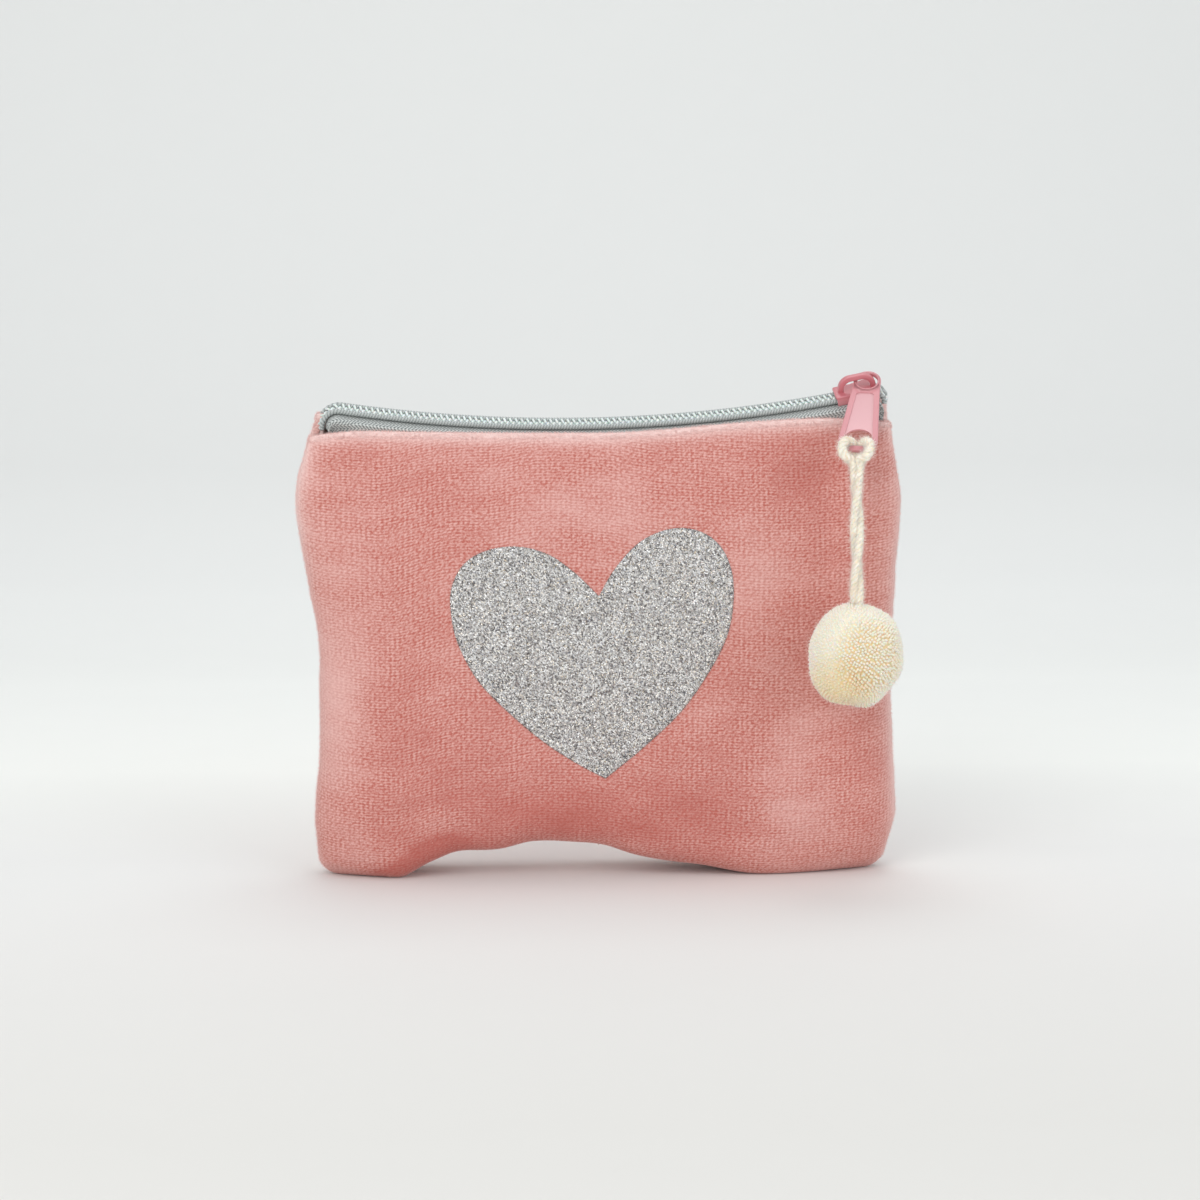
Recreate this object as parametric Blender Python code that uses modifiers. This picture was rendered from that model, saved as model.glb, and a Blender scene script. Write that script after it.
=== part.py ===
"""A small velvet zip pouch that stands on its filled lower corners.

Units are metres, +Z is up and -Y is the front, where the heart is. The origin is on the
surface that the pouch stands on, under the middle of the bag with its pull tab.
The zip closes to the right. Its slider runs left to open it, a pull tab hangs from the
slider's bridge, and a cord with a pompom hangs from the tab.
"""

import math

import bmesh
import bpy
from mathutils import Matrix, Vector
from mathutils.bvhtree import BVHTree

# The bag's outer form
BAG_WIDTH = 0.140
RIM_HEIGHT = 0.104
BACK_RIM_RISE = 0.0014
BAG_DEPTH = 0.028
BOTTOM_LIFT = 0.0082
FOOT_SINK = 0.0009
CORNER_RADIUS = 0.011
SIDE_SHARPNESS = 3.4
RIM_SHARPNESS = 14.0
VELVET_THICKNESS = 0.0010
LINING_THICKNESS = 0.0005
LINING_DROP = 0.0055
LINING_LIFT = 0.0016
LINING_EDGE_GAP = 0.0006
FIT_GAP = 0.0003
SEAM_THREAD_DIAMETER = 0.0005

# Heights of the side outline, as shares of the rim's height, and half widths there
LEFT_OUTLINE_SHARES = [
    (0.00, 0.943), (0.12, 0.950), (0.22, 0.945), (0.33, 0.930), (0.51, 0.927),
    (0.69, 0.956), (0.86, 0.996), (0.90, 1.000), (0.97, 0.978), (1.04, 0.945),
]
RIGHT_OUTLINE_SHARES = [
    (0.00, 0.962), (0.05, 0.972), (0.17, 0.992), (0.29, 0.980), (0.49, 0.976),
    (0.67, 0.988), (0.83, 1.000), (0.95, 0.974), (1.06, 0.954),
]
# Places across the bag, as shares of its half width, and the rim's height there
RIM_SHARES = [
    (-1.00, 0.990), (-0.90, 0.999), (-0.80, 1.001), (-0.50, 0.997), (-0.20, 0.995),
    (0.05, 0.995), (0.22, 1.001), (0.40, 1.011), (0.60, 1.020), (0.80, 1.024),
    (1.00, 1.015),
]
# Places across the bag, and the lift of its lower edge there as shares of the highest lift
BOTTOM_SHARES = [
    (-1.00, 0.00), (-0.82, 0.00), (-0.72, 0.04), (-0.60, 0.46), (-0.50, 0.72),
    (-0.36, 0.78), (-0.24, 1.00), (0.00, 0.86), (0.18, 0.50), (0.36, 0.30),
    (0.52, 0.06), (0.62, 0.00), (0.82, 0.00), (1.00, 0.00),
]
# The panel's section below its fullest height: shares of the rim's height and of the half
# depth, and the height share of the same row at the side seam
LOWER_SECTION_SHARES = [
    (0.000, 0.00, 0.000), (0.000, 0.24, 0.030), (0.003, 0.46, 0.060),
    (0.014, 0.66, 0.095), (0.045, 0.82, 0.140), (0.100, 0.92, 0.200),
    (0.180, 0.975, 0.270), (0.280, 1.00, 0.350),
]
# The section above that: the depth shares run from 0 at the rim to 1 at the fullest height
UPPER_SECTION_SHARES = [
    (0.390, 1.00, 0.440), (0.500, 0.97, 0.530), (0.610, 0.905, 0.620),
    (0.710, 0.80, 0.710), (0.800, 0.66, 0.800), (0.880, 0.455, 0.880),
    (0.945, 0.24, 0.945), (1.000, 0.00, 1.000),
]
# Columns of the panel's grid, as shares of the half width, close together at the side seams
COLUMN_SHARES = [
    0.0, 0.12, 0.24, 0.36, 0.48, 0.60, 0.71, 0.81, 0.89, 0.945, 0.98, 1.0,
]
LINING_COLUMN_SHARES = [0.0, 0.24, 0.36, 0.48, 0.60, 0.71, 0.89, 0.98, 1.0]

# The zip: its coil, its tape and the line that it follows, a shallow arc with turned ends
ZIP_ROLL = math.radians(24)
ZIP_RADIUS = 0.350
ZIP_LOW_X_SHARE = -0.114
ZIP_LOW_RISE = 0.0002
ZIP_LEFT_SHARE = -0.866
ZIP_RIGHT_SHARE = 0.917
ZIP_LEFT_TURN = 0.0030
ZIP_RIGHT_TURN = 0.0011
ZIP_END_SHARE = 0.75
COIL_PITCH = 0.00133
COIL_HALF_WIDTH = 0.0019
COIL_THICKNESS = 0.00135
COIL_BACK_WIDTH = 0.0010
TOOTH_WIDTH = 0.00040
TOOTH_REACH = 0.00025
COIL_SPREAD = 0.0008
TAPE_THICKNESS = 0.0005
TAPE_EDGE = 0.0007
TAPE_MARGIN = 0.0040
TAPE_LIP = 0.0006

# The slider
SLIDER_LENGTH = 0.0092
PLATE_THICKNESS = 0.0009
FLANGE_THICKNESS = 0.0005
TAPE_SLOT = 0.0004
POST_LENGTH = 0.0024
POST_HALF_WIDTH = 0.0003
BRIDGE_SPAN = 0.0088
BRIDGE_INNER_HEIGHT = 0.0025
BRIDGE_WIRE = 0.0012
BRIDGE_WIDTH = 0.0014
BRIDGE_CORNER = 0.0020
CUT_OVERRUN = 0.0003

# The pull tab
TAB_LEAN = math.radians(50.5)
TAB_TURN = math.radians(19.3)
TAB_THICKNESS = 0.0008
TAB_RING_RADIUS = 0.00315
TAB_HOLE_RADIUS = 0.0024
TAB_HANG_SHARE = 0.65
TAB_LEG_GAP = 0.0008
TAB_FORWARD = 0.0005
TAB_LENGTH = 0.0222
TAB_WAIST = 0.0064
TAB_FOOT_WIDTH = 0.0090
TAB_SLOT_WIDTH = 0.0062
TAB_SLOT_HEIGHT = 0.0053
TAB_BAR = 0.0015
TAB_CHAMFER = 0.0022
TAB_BORDER = 0.0008
TAB_RECESS = 0.00018

# The cord and the pompom
YARN_DIAMETER = 0.0017
CORD_DIAMETER = 0.0028
CORD_LENGTH = 0.0325
CORD_BOW = 0.0006
CORD_STEPS = 10
POMPOM_WIDTH = 0.0218
POMPOM_HEIGHT = 0.0232
POMPOM_GAP = 0.0007
POMPOM_SHIFT = 0.0004
POMPOM_FUNNEL_RADIUS = 0.0034
POMPOM_FUNNEL_DEPTH = 0.0044
POMPOM_BORE_RADIUS = 0.0021
POMPOM_BORE_DEPTH = 0.0072
KNOT_DIAMETER = 0.0034

# The heart that is pressed on the front panel
HEART_WIDTH = 0.0645
HEART_HEIGHT = 0.0574
HEART_X = -0.0025
HEART_BOTTOM = 0.0244
HEART_THICKNESS = 0.00025
# Half outlines from the notch to the tip, as shares of the heart's width and height
HEART_LEFT_SHARES = [
    (0.022, 0.735), (-0.065, 0.830), (-0.155, 0.900), (-0.260, 0.932), (-0.370, 0.918),
    (-0.452, 0.865), (-0.496, 0.775), (-0.500, 0.675), (-0.478, 0.555), (-0.415, 0.415),
    (-0.325, 0.300), (-0.190, 0.165), (-0.060, 0.065), (0.045, 0.000),
]
HEART_RIGHT_SHARES = [
    (0.022, 0.735), (0.075, 0.835), (0.145, 0.925), (0.215, 0.975), (0.300, 1.000),
    (0.385, 0.985), (0.452, 0.930), (0.492, 0.835), (0.500, 0.715), (0.478, 0.575),
    (0.412, 0.425), (0.310, 0.265), (0.165, 0.110), (0.045, 0.000),
]
HEART_CENTRE_SHARES = (0.0, 0.52)
HEART_RING_SHARES = [1.0, 0.80, 0.55, 0.28]
HEART_STEPS = 24

# How far the bag's middle lies behind the origin, which the tab at the front brings forward
BAG_BACK = 0.0025

# Counts that set how fine the meshes are
ZIP_STATIONS = 40
THREAD_POINTS = 26

HALF_WIDTH = BAG_WIDTH / 2
HALF_DEPTH = BAG_DEPTH / 2
SEAM_HALF_GAP = SEAM_THREAD_DIAMETER / 2 + FIT_GAP
COIL_BOTTOM = TAPE_THICKNESS / 2 + FIT_GAP
COIL_TOP = COIL_BOTTOM + COIL_THICKNESS
PLATE_BOTTOM = -TAPE_THICKNESS / 2 - FIT_GAP
PLATE_TOP = COIL_TOP + FIT_GAP
PLATE_OUTSIDE = PLATE_TOP + PLATE_THICKNESS
REAR_CHANNEL = COIL_HALF_WIDTH + FIT_GAP
NOSE_CHANNEL = REAR_CHANNEL + COIL_SPREAD
NOSE_HALF_WIDTH = NOSE_CHANNEL + FLANGE_THICKNESS
TAPE_FLAT = NOSE_HALF_WIDTH + FIT_GAP + TAPE_THICKNESS / 2
TAPE_INSET = VELVET_THICKNESS + FIT_GAP + TAPE_THICKNESS / 2
ZIP_LOW_X = HALF_WIDTH * ZIP_LOW_X_SHARE
ZIP_LOW_HEIGHT = RIM_HEIGHT - ZIP_LOW_RISE
ZIP_LEFT = math.asin((HALF_WIDTH * ZIP_LEFT_SHARE - ZIP_LOW_X) / ZIP_RADIUS) * ZIP_RADIUS
ZIP_RIGHT = math.asin((HALF_WIDTH * ZIP_RIGHT_SHARE - ZIP_LOW_X) / ZIP_RADIUS) * ZIP_RADIUS
LEFT_TURN_LENGTH = ZIP_LEFT_TURN * (math.pi / 2 - ZIP_LEFT / ZIP_RADIUS)
RIGHT_TURN_LENGTH = ZIP_RIGHT_TURN * (math.pi / 2 + ZIP_RIGHT / ZIP_RADIUS)
ZIP_START = ZIP_LEFT - LEFT_TURN_LENGTH * ZIP_END_SHARE
ZIP_END = ZIP_RIGHT + RIGHT_TURN_LENGTH
SLIDER_PLACE = ZIP_RIGHT - SLIDER_LENGTH / 2


def clear_scene():
    """Removes every object of the start file."""
    for old in list(bpy.data.objects):
        bpy.data.objects.remove(old, do_unlink=True)


def new_collection(name):
    """Makes a collection under the scene's own."""
    made = bpy.data.collections.new(name)
    bpy.context.scene.collection.children.link(made)
    return made


def make_material(name, colour, roughness, metallic=0.0):
    """A Principled material of one colour."""
    material = bpy.data.materials.new(name)
    material.use_nodes = True
    shader = material.node_tree.nodes["Principled BSDF"]
    shader.inputs["Base Color"].default_value = (*colour, 1.0)
    shader.inputs["Roughness"].default_value = roughness
    shader.inputs["Metallic"].default_value = metallic
    return material


def link_object(name, data, collection, material=None):
    """Wraps mesh or curve data in an object of the given collection."""
    made = bpy.data.objects.new(name, data)
    collection.objects.link(made)
    if material is not None:
        data.materials.append(material)
    return made


def hide_helper(helper):
    """Marks an object as a cutter or a guide."""
    helper.hide_render = True
    helper.display_type = "WIRE"


def smooth_value(table, place):
    """Reads a table of (place, value) rows with a smooth curve through its points."""
    if place <= table[0][0]:
        return table[0][1]
    if place >= table[-1][0]:
        return table[-1][1]
    row = 0
    while table[row + 1][0] < place:
        row += 1
    before = table[max(row - 1, 0)]
    start, end = table[row], table[row + 1]
    after = table[min(row + 2, len(table) - 1)]
    span = end[0] - start[0]
    share = (place - start[0]) / span
    slope_in = (end[1] - before[1]) / (end[0] - before[0]) * span
    slope_out = (after[1] - start[1]) / (after[0] - start[0]) * span
    square, cube = share**2, share**3
    return (
        (2 * cube - 3 * square + 1) * start[1]
        + (cube - 2 * square + share) * slope_in
        + (3 * square - 2 * cube) * end[1]
        + (cube - square) * slope_out
    )


def smooth_points(points, steps):
    """Points of a smooth curve through the given ones, with the given steps between two."""
    count = len(points)
    found = []
    for i in range(count - 1):
        before = Vector(points[max(i - 1, 0)])
        start, end = Vector(points[i]), Vector(points[i + 1])
        after = Vector(points[min(i + 2, count - 1)])
        for step in range(steps):
            t = step / steps
            found.append(
                0.5
                * (
                    2 * start
                    + (end - before) * t
                    + (2 * before - 5 * start + 4 * end - after) * t**2
                    + (3 * start - 3 * end + after - before) * t**3
                )
            )
    found.append(Vector(points[-1]))
    return found


def grid_mesh(name, rows):
    """An open surface of quads through rows of points, the same number in each row."""
    mesh = bpy.data.meshes.new(name)
    shape = bmesh.new()
    verts = [[shape.verts.new(point) for point in row] for row in rows]
    for lower, upper in zip(verts, verts[1:]):
        for i in range(len(lower) - 1):
            shape.faces.new((lower[i], lower[i + 1], upper[i + 1], upper[i]))
    shape.normal_update()
    shape.to_mesh(mesh)
    shape.free()
    return mesh


def shade_mesh(mesh, angle=math.radians(40)):
    """Smooth shading with sharp edges past an angle."""
    mesh.shade_smooth()
    mesh.set_sharp_from_angle(angle=angle)


def mesh_from_curve(source, name, collection, material):
    """Turns a curve object into a welded mesh object at the same place, and removes it."""
    graph = bpy.context.evaluated_depsgraph_get()
    mesh = bpy.data.meshes.new_from_object(source.evaluated_get(graph))
    shape = bmesh.new()
    shape.from_mesh(mesh)
    bmesh.ops.remove_doubles(shape, verts=shape.verts, dist=FIT_GAP / 1000)
    bmesh.ops.recalc_face_normals(shape, faces=shape.faces)
    shape.to_mesh(mesh)
    shape.free()
    mesh.materials.clear()
    made = link_object(name, mesh, collection, material)
    made.matrix_world = source.matrix_world.copy()
    bpy.data.objects.remove(source, do_unlink=True)
    return made


def flat_shape(name, outlines, thickness, collection, material=None):
    """A plate with the given closed outlines, the inner ones as holes, about its own middle."""
    curve = bpy.data.curves.new(name, "CURVE")
    curve.dimensions = "2D"
    curve.fill_mode = "BOTH"
    curve.extrude = thickness / 2
    for outline in outlines:
        spline = curve.splines.new("POLY")
        spline.points.add(len(outline) - 1)
        spline.use_cyclic_u = True
        for point, place in zip(spline.points, outline):
            point.co = (place[0], place[1], 0.0, 1.0)
    source = link_object(name + "_outline", curve, collection)
    bpy.context.view_layer.update()
    return mesh_from_curve(source, name, collection, material)


def tube(name, points, diameter, collection, material, sides=2):
    """A round bar along a list of points, with closed ends."""
    curve = bpy.data.curves.new(name, "CURVE")
    curve.dimensions = "3D"
    curve.bevel_depth = diameter / 2
    curve.bevel_resolution = sides
    curve.use_fill_caps = True
    spline = curve.splines.new("POLY")
    spline.points.add(len(points) - 1)
    for point, place in zip(spline.points, points):
        point.co = (*place, 1.0)
    return link_object(name, curve, collection, material)


def add_boolean(target, other, operation):
    """Joins another object to the target or cuts it away, and hides that object."""
    modifier = target.modifiers.new(operation.lower() + "_" + other.name, "BOOLEAN")
    modifier.operation = operation
    modifier.object = other
    hide_helper(other)


def add_solidify(target, thickness):
    """Gives an open surface a thickness on its inner side."""
    modifier = target.modifiers.new("thickness", "SOLIDIFY")
    modifier.thickness = thickness
    modifier.offset = -1.0
    modifier.use_even_offset = False


def half_width_at(height, right):
    """Half the bag's width at a height, on its right or its left."""
    table = RIGHT_OUTLINE_SHARES if right else LEFT_OUTLINE_SHARES
    return smooth_value(table, height / RIM_HEIGHT) * HALF_WIDTH


def corner_inset_at(height):
    """How far the rounding of the lower corners draws the sides in at a height."""
    rise = 1 - min(height / CORNER_RADIUS, 1.0)
    return CORNER_RADIUS * (1 - math.sqrt(1 - rise**2))


def rim_height_at(x, side):
    """Height of the front panel's top edge (side -1), or of the back panel's (side 1)."""
    rise = BACK_RIM_RISE if side > 0 else 0.0
    return smooth_value(RIM_SHARES, x / HALF_WIDTH) * RIM_HEIGHT + rise


def rim_depth(side):
    """How far the rim's outer side lies from the middle, clear of the slider and the tape."""
    wing = TAPE_FLAT * math.cos(ZIP_ROLL)
    if side > 0:
        under = (PLATE_THICKNESS - PLATE_BOTTOM) * math.sin(ZIP_ROLL)
        plate = NOSE_HALF_WIDTH * math.cos(ZIP_ROLL) + under
        wing = max(wing, plate + FIT_GAP + TAPE_THICKNESS / 2)
    return wing + TAPE_INSET


def bottom_height_at(x):
    """Height of the bag's lower edge, just below the floor at the feet so that they end flat."""
    lift = smooth_value(BOTTOM_SHARES, x / HALF_WIDTH)
    return lift * (BOTTOM_LIFT + FOOT_SINK) - FOOT_SINK


def plan_share(column, height_share):
    """How full the bag is across its width: 1 in the middle and 0 at the side seams."""
    sharpness = SIDE_SHARPNESS + (RIM_SHARPNESS - SIDE_SHARPNESS) * height_share**6
    return (1 - abs(column) ** sharpness) ** (1 / sharpness)


def section_rows(side):
    """The panel's section as rows of height share, depth and height share at the side seam."""
    rim = rim_depth(side)
    lower = [(up, HALF_DEPTH * out, seam) for up, out, seam in LOWER_SECTION_SHARES]
    upper = [
        (up, rim + (HALF_DEPTH - rim) * out, seam) for up, out, seam in UPPER_SECTION_SHARES
    ]
    return lower + upper


def panel_point(column, row, side):
    """A point of a panel's outer surface, front (side -1) or back (side 1)."""
    height_share, depth, side_share = row
    full = plan_share(column, height_share)
    x = column * HALF_WIDTH
    share = full * height_share + (1 - full) * side_share
    low, high = bottom_height_at(x), rim_height_at(x, side)
    z = max(low + (high - low) * share, 0.0)
    x = column * (half_width_at(z, column > 0) - corner_inset_at(z) * abs(column) ** 3)
    y = side * (SEAM_HALF_GAP + max(depth - SEAM_HALF_GAP, 0.0) * full)
    return Vector((x, y, z))


def panel_columns(shares):
    """The columns of a panel's grid from left to right."""
    return [-share for share in reversed(shares[1:])] + shares


def panel_surface(name, side, shares=COLUMN_SHARES):
    """A panel's outer surface, from the bottom seam to the rim, with its faces to the outside."""
    columns = panel_columns(shares)
    rows = [[panel_point(c, row, side) for c in columns] for row in section_rows(side)]
    mesh = grid_mesh(name, rows)
    if side > 0:
        mesh.flip_normals()
    return mesh


def make_panel(name, side, parts, velvet):
    """One of the two velvet panels."""
    mesh = panel_surface(name, side)
    shade_mesh(mesh)
    panel = link_object(name, mesh, parts, velvet)
    add_solidify(panel, VELVET_THICKNESS)
    return panel


def make_lining(name, side, parts, cotton):
    """A panel of the lining, which hangs inside the velvet one from the zip's tape."""
    offset = VELVET_THICKNESS + TAPE_THICKNESS + 2 * FIT_GAP
    mesh = panel_surface(name, side, LINING_COLUMN_SHARES)
    shape = bmesh.new()
    shape.from_mesh(mesh)
    shape.normal_update()
    moves = [vert.normal * offset for vert in shape.verts]
    for vert, move in zip(shape.verts, moves):
        vert.co -= move
        share = min(max(vert.co.z / RIM_HEIGHT, 0.0), 1.0)
        vert.co.z += LINING_LIFT * (1 - share) ** 12 - LINING_DROP * share**12
        vert.co.y = side * max(side * vert.co.y, LINING_EDGE_GAP)
    shape.to_mesh(mesh)
    shape.free()
    shade_mesh(mesh)
    lining = link_object(name, mesh, parts, cotton)
    add_solidify(lining, LINING_THICKNESS)


def surface_tree(panel):
    """A search tree of a panel's outer surface."""
    shape = bmesh.new()
    shape.from_mesh(panel.data)
    tree = BVHTree.FromBMesh(shape)
    shape.free()
    return tree


def outside_of(tree, side, x, z):
    """The point and the outward direction of a panel's outer surface at x and z."""
    start = Vector((x, side * BAG_DEPTH, z))
    return tree.ray_cast(start, Vector((0.0, -side, 0.0)))[:2]


def seam_point(column, row):
    """A point in the middle of the seam, between the two panels' edges."""
    edge = panel_point(column, row, -1)
    edge.y = 0.0
    return edge


def make_seam_threads(parts, thread):
    """The threads that hold the panels together at both sides and along the bottom."""
    rows = section_rows(-1)
    inset = VELVET_THICKNESS / 2
    for name, side in (("left_seam_thread", -1), ("right_seam_thread", 1)):
        points = [seam_point(side, row) for row in rows[4:-1]]
        for point in points:
            point.x -= side * inset
        tube(name, smooth_points(points, 2), SEAM_THREAD_DIAMETER, parts, thread, 1)
    points = []
    ends = COLUMN_SHARES[-3]
    for step in range(THREAD_POINTS):
        column = ends * (2 * step / (THREAD_POINTS - 1) - 1)
        point = seam_point(column, rows[0])
        point.z += inset
        points.append(point)
    tube("bottom_seam_thread", points, SEAM_THREAD_DIAMETER, parts, thread, 1)


def half_outline(shares):
    """Points of half the heart's outline in the X-Z plane, from the notch to the tip."""
    corners = [
        (HEART_X + across * HEART_WIDTH, 0.0, HEART_BOTTOM + up * HEART_HEIGHT)
        for across, up in shares
    ]
    fine = smooth_points(corners, 6)
    return [fine[round(i * (len(fine) - 1) / HEART_STEPS)] for i in range(HEART_STEPS)]


def make_heart(parts, panel, glitter):
    """The heart, as a thin sheet that follows the front panel."""
    surface = surface_tree(panel)
    right = half_outline(HEART_RIGHT_SHARES)
    left_shares = list(reversed(HEART_LEFT_SHARES))
    outline = right + half_outline(left_shares)
    centre = Vector(
        (
            HEART_X + HEART_CENTRE_SHARES[0] * HEART_WIDTH,
            0.0,
            HEART_BOTTOM + HEART_CENTRE_SHARES[1] * HEART_HEIGHT,
        )
    )

    def on_panel(point):
        hit = outside_of(surface, -1, point.x, point.z)[0]
        return Vector((point.x, hit.y - FIT_GAP - HEART_THICKNESS, point.z))

    shape = bmesh.new()
    rings = []
    for share in HEART_RING_SHARES:
        ring = [on_panel(centre + (point - centre) * share) for point in outline]
        rings.append([shape.verts.new(point) for point in ring])
    middle = shape.verts.new(on_panel(centre))
    count = len(outline)
    for outer, inner in zip(rings, rings[1:]):
        for i in range(count):
            after = (i + 1) % count
            shape.faces.new((outer[i], inner[i], inner[after], outer[after]))
    for i in range(count):
        shape.faces.new((rings[-1][i], middle, rings[-1][(i + 1) % count]))
    shape.normal_update()
    mesh = bpy.data.meshes.new("heart_applique")
    shape.to_mesh(mesh)
    shape.free()
    mesh.update()
    if mesh.polygons[0].normal.y > 0:
        mesh.flip_normals()
    heart = link_object("heart_applique", mesh, parts, glitter)
    add_solidify(heart, HEART_THICKNESS)


def turned_end(heading, extra, radius):
    """How far a zip's end goes on and up past the arc, and its heading there.

    It turns down with the given radius until it points straight down, and runs on from there.
    """
    length = radius * (math.pi / 2 + heading)
    turned = heading - min(extra, length) / radius
    on = radius * (math.sin(heading) - math.sin(turned))
    up = radius * (math.cos(turned) - math.cos(heading))
    return on, up - max(extra - length, 0.0), turned


def zip_frame(place):
    """The zip's middle and its directions along, across and up, at a length along its line.

    The length runs from the arc's lowest point, to the right.
    """
    held = min(max(place, ZIP_LEFT), ZIP_RIGHT)
    heading = held / ZIP_RADIUS
    x = ZIP_LOW_X + ZIP_RADIUS * math.sin(heading)
    z = ZIP_LOW_HEIGHT + ZIP_RADIUS * (1 - math.cos(heading))
    if place > held:
        on, up, heading = turned_end(heading, place - held, ZIP_RIGHT_TURN)
        x, z = x + on, z + up
    elif place < held:
        on, up, mirrored = turned_end(-heading, held - place, ZIP_LEFT_TURN)
        x, z, heading = x - on, z + up, -mirrored
    along = Vector((math.cos(heading), 0.0, math.sin(heading)))
    flat = Vector((0.0, 1.0, 0.0))
    roll = ZIP_ROLL * (1 - abs(heading - held / ZIP_RADIUS) / math.pi)
    across = Matrix.Rotation(roll, 3, along) @ flat
    return Vector((x, 0.0, z)), along, across, along.cross(across)


def zip_point(place, lateral, height):
    """A point given along the zip, across it and above its tape."""
    middle, _, across, up = zip_frame(place)
    return middle + across * lateral + up * height


def zip_matrix(place):
    """Places a frame on the zip: X along it, Y across it and Z away from its tape."""
    middle, along, across, up = zip_frame(place)
    turn = Matrix((along, across, up)).transposed().to_4x4()
    return Matrix.Translation(middle) @ turn


def coil_spread_at(place):
    """How far a coil half is pushed aside by the post in the slider."""
    start = SLIDER_PLACE - SLIDER_LENGTH * 0.12
    end = SLIDER_PLACE + SLIDER_LENGTH * 0.22
    share = min(max((place - start) / (end - start), 0.0), 1.0)
    return COIL_SPREAD * share**2 * (3 - 2 * share)


def comb_stations(side):
    """Lengths along the zip where a coil half has a section, and whether a tooth starts there."""
    start = ZIP_START + TOOTH_WIDTH + (COIL_PITCH / 2 if side > 0 else 0.0)
    count = int((ZIP_END - 2 * TOOTH_WIDTH - start) / COIL_PITCH) + 1
    stations = [(ZIP_START, False)]
    for tooth in range(count):
        place = start + tooth * COIL_PITCH
        stations += [(place, True), (place + TOOTH_WIDTH, False)]
    stations.append((ZIP_END, False))
    found = stations[:1]
    for station in stations[1:]:
        last = found[-1][0]
        turned = last < ZIP_LEFT or station[0] > ZIP_RIGHT
        steps = max(round((station[0] - last) / TOOTH_WIDTH), 1) if turned else 1
        found += [(last + (station[0] - last) * step / steps, False) for step in range(1, steps)]
        found.append(station)
    return found


def comb_surface(name, side):
    """The middle surface of a coil half: a strip with teeth that reach past the zip's middle."""
    stations = comb_stations(side)
    shape = bmesh.new()

    def row(lateral):
        middle = COIL_BOTTOM + COIL_THICKNESS / 2
        points = []
        for place, _ in stations:
            across = side * (lateral + coil_spread_at(place))
            points.append(shape.verts.new(zip_point(place, across, middle)))
        return points

    back, inner = row(COIL_HALF_WIDTH), row(COIL_HALF_WIDTH - COIL_BACK_WIDTH)
    tips = row(-TOOTH_REACH)
    for i in range(len(stations) - 1):
        shape.faces.new((inner[i], inner[i + 1], back[i + 1], back[i]))
        if stations[i][1]:
            shape.faces.new((tips[i], tips[i + 1], inner[i + 1], inner[i]))
    loose = [vert for vert in shape.verts if not vert.link_faces]
    bmesh.ops.delete(shape, geom=loose, context="VERTS")
    mesh = bpy.data.meshes.new(name)
    shape.to_mesh(mesh)
    shape.free()
    if side < 0:
        mesh.flip_normals()
    return mesh


def make_coil(name, side, parts, nylon):
    """One side's coil as a comb of teeth. Its teeth lie between those of the other side."""
    comb = link_object(name, comb_surface(name, side), parts, nylon)
    modifier = comb.modifiers.new("thickness", "SOLIDIFY")
    modifier.thickness = COIL_THICKNESS
    modifier.offset = 0.0


def zip_stations():
    """Lengths along the zip where the tape has a section, close together at the turned ends."""
    left = [ZIP_LEFT - (ZIP_LEFT - ZIP_START) * share / 6 for share in range(6, 0, -1)]
    right = [ZIP_RIGHT + (ZIP_END - ZIP_RIGHT) * share / 7 for share in range(1, 8)]
    steps = ZIP_STATIONS
    arc = [ZIP_LEFT + (ZIP_RIGHT - ZIP_LEFT) * step / steps for step in range(steps + 1)]
    return left + arc + right


def tape_section(place, side, tree):
    """The tape's section: flat as far as the slider reaches, then down inside the velvet."""
    spread = coil_spread_at(place)
    flat = zip_point(place, side * TAPE_FLAT, 0.0)
    points = [zip_point(place, side * (TAPE_EDGE + spread), 0.0), flat]
    lips = [zip_point(place, side * TAPE_FLAT, -TAPE_LIP * step) for step in (1, 2, 3)]
    room = min(place - ZIP_LEFT, ZIP_RIGHT - place) / TAPE_MARGIN
    share = min(max(room, 0.0), 1.0)
    if share == 0.0:
        return points + lips
    under = zip_point(place, side * NOSE_HALF_WIDTH, PLATE_BOTTOM - PLATE_THICKNESS)
    high = min(under.z, flat.z - TAPE_LIP)
    top = min(rim_height_at(flat.x, side), high) - TAPE_THICKNESS
    sewn = []
    for z in (top, top - TAPE_MARGIN):
        hit, normal = outside_of(tree, side, flat.x, z)
        depth = max(abs(hit.y) - TAPE_INSET / abs(normal.y), TAPE_THICKNESS)
        sewn.append(Vector((flat.x, side * depth, z)))
    wing = min(rim_depth(side) - TAPE_INSET, abs(sewn[0].y))
    out = min(max(room - 1.0, 0.0), 1.0)
    for point in sewn:
        point.y = side * wing + (point.y - side * wing) * out
    sewn.insert(0, Vector((flat.x, side * wing, high)))
    return points + [lip + (place - lip) * share for lip, place in zip(lips, sewn)]


def make_tape(name, side, parts, panel, twill):
    """One side's woven tape, from the coil to the margin that is sewn into the panel."""
    tree = surface_tree(panel)
    mesh = grid_mesh(name, [tape_section(place, side, tree) for place in zip_stations()])
    if side < 0:
        mesh.flip_normals()
    shade_mesh(mesh)
    tape = link_object(name, mesh, parts, twill)
    modifier = tape.modifiers.new("thickness", "SOLIDIFY")
    modifier.thickness = TAPE_THICKNESS
    modifier.offset = 0.0
    return tape


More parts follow.
